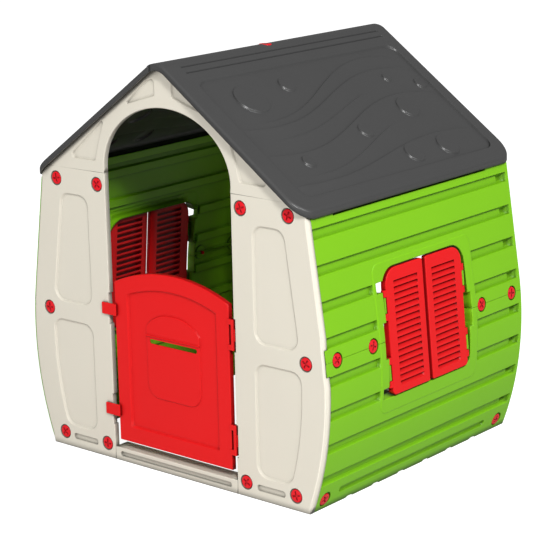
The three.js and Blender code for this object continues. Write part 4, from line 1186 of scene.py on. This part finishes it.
# ---------- camera ----------
def photo_camera():
    """Camera at the photograph's viewing angle."""
    yaw, pitch, roll = (math.radians(a) for a in (40.1923, 14.4841, -1.17863))
    ahead = Vector((-math.sin(yaw) * math.cos(pitch), math.cos(yaw) * math.cos(pitch),
                    -math.sin(pitch)))
    right = Vector((math.cos(yaw), math.sin(yaw), 0))
    up = right.cross(ahead)
    right, up = (math.cos(roll) * right + math.sin(roll) * up,
                 math.cos(roll) * up - math.sin(roll) * right)
    data = bpy.data.cameras.new("photo_camera")
    data.sensor_width = 36
    data.lens = 126.55
    data.clip_end = 100
    camera = bpy.data.objects.new("photo_camera", data)
    camera.matrix_world = Matrix.Translation((3.2761, -3.8924, 1.7787)) @ Matrix(
        (right, up, -ahead)).transposed().to_4x4()
    bpy.context.scene.collection.objects.link(camera)
    bpy.context.scene.camera = camera


# ---------- light, floor and background ----------
def softbox(name, azimuth, elevation, distance, size, power):
    """Area light aimed at the middle of the house; azimuth 0 is in front, 90 on the right."""
    a, e = math.radians(azimuth), math.radians(elevation)
    back = Vector((math.sin(a) * math.cos(e), -math.cos(a) * math.cos(e), math.sin(e)))
    data = bpy.data.lights.new(name, "AREA")
    data.shape = "RECTANGLE"
    data.size, data.size_y = size
    data.energy = power
    light = bpy.data.objects.new(name, data)
    light.location = (cad_low + cad_high) / 2 + back * distance
    light.rotation_mode = "QUATERNION"
    light.rotation_quaternion = back.to_track_quat("Z", "Y")
    bpy.context.scene.collection.objects.link(light)


def camera_choice(tree, seen, unseen):
    """Node output with one value where the camera looks and another for every other ray."""
    path = tree.nodes.new("ShaderNodeLightPath")
    choice = tree.nodes.new("ShaderNodeMapRange")
    choice.inputs["To Min"].default_value = unseen
    choice.inputs["To Max"].default_value = seen
    tree.links.new(path.outputs["Is Camera Ray"], choice.inputs["Value"])
    return choice.outputs["Result"]


def surroundings():
    """Weak even light all round, white where the camera sees it."""
    world = bpy.data.worlds.new("studio")
    bpy.context.scene.world = world
    world.use_nodes = True
    tree = world.node_tree
    background = tree.nodes["Background"]
    background.inputs["Color"].default_value = (1, 1, 1, 1)
    tree.links.new(camera_choice(tree, 1.0, AMBIENT), background.inputs["Strength"])


def floor():
    """Plain pale floor, lit up for the camera so that only a faint shadow shows."""
    size = 12.0
    mesh = bpy.data.meshes.new("floor")
    corners = [(-size, -size, 0), (size, -size, 0), (size, size, 0), (-size, size, 0)]
    mesh.from_pydata(corners, [], [(0, 1, 2, 3)])
    material = bpy.data.materials.new("floor")
    material.use_nodes = True
    shader = material.node_tree.nodes["Principled BSDF"]
    shader.inputs["Base Color"].default_value = (0.5, 0.5, 0.5, 1)
    shader.inputs["Roughness"].default_value = 0.9
    shader.inputs["Specular IOR Level"].default_value = 0.0
    shader.inputs["Emission Color"].default_value = (1, 1, 1, 1)
    glow = camera_choice(material.node_tree, 0.97, 0.0)
    material.node_tree.links.new(glow, shader.inputs["Emission Strength"])
    mesh.materials.append(material)
    piece = bpy.data.objects.new("floor", mesh)
    piece.location.z = cad_low.z - 0.0005
    bpy.context.scene.collection.objects.link(piece)


AMBIENT = 0.20
LIGHT_DISTANCE = 8.0
photo_camera()
surroundings()
floor()
softbox("key", 50, 35, LIGHT_DISTANCE, (1.3, 1.3), 392)
softbox("side_fill", 95, 42, LIGHT_DISTANCE, (3.0, 3.0), 284)
softbox("front_fill", 4, 10, LIGHT_DISTANCE, (3.0, 3.0), 227)
bpy.context.scene.view_settings.view_transform = "Standard"
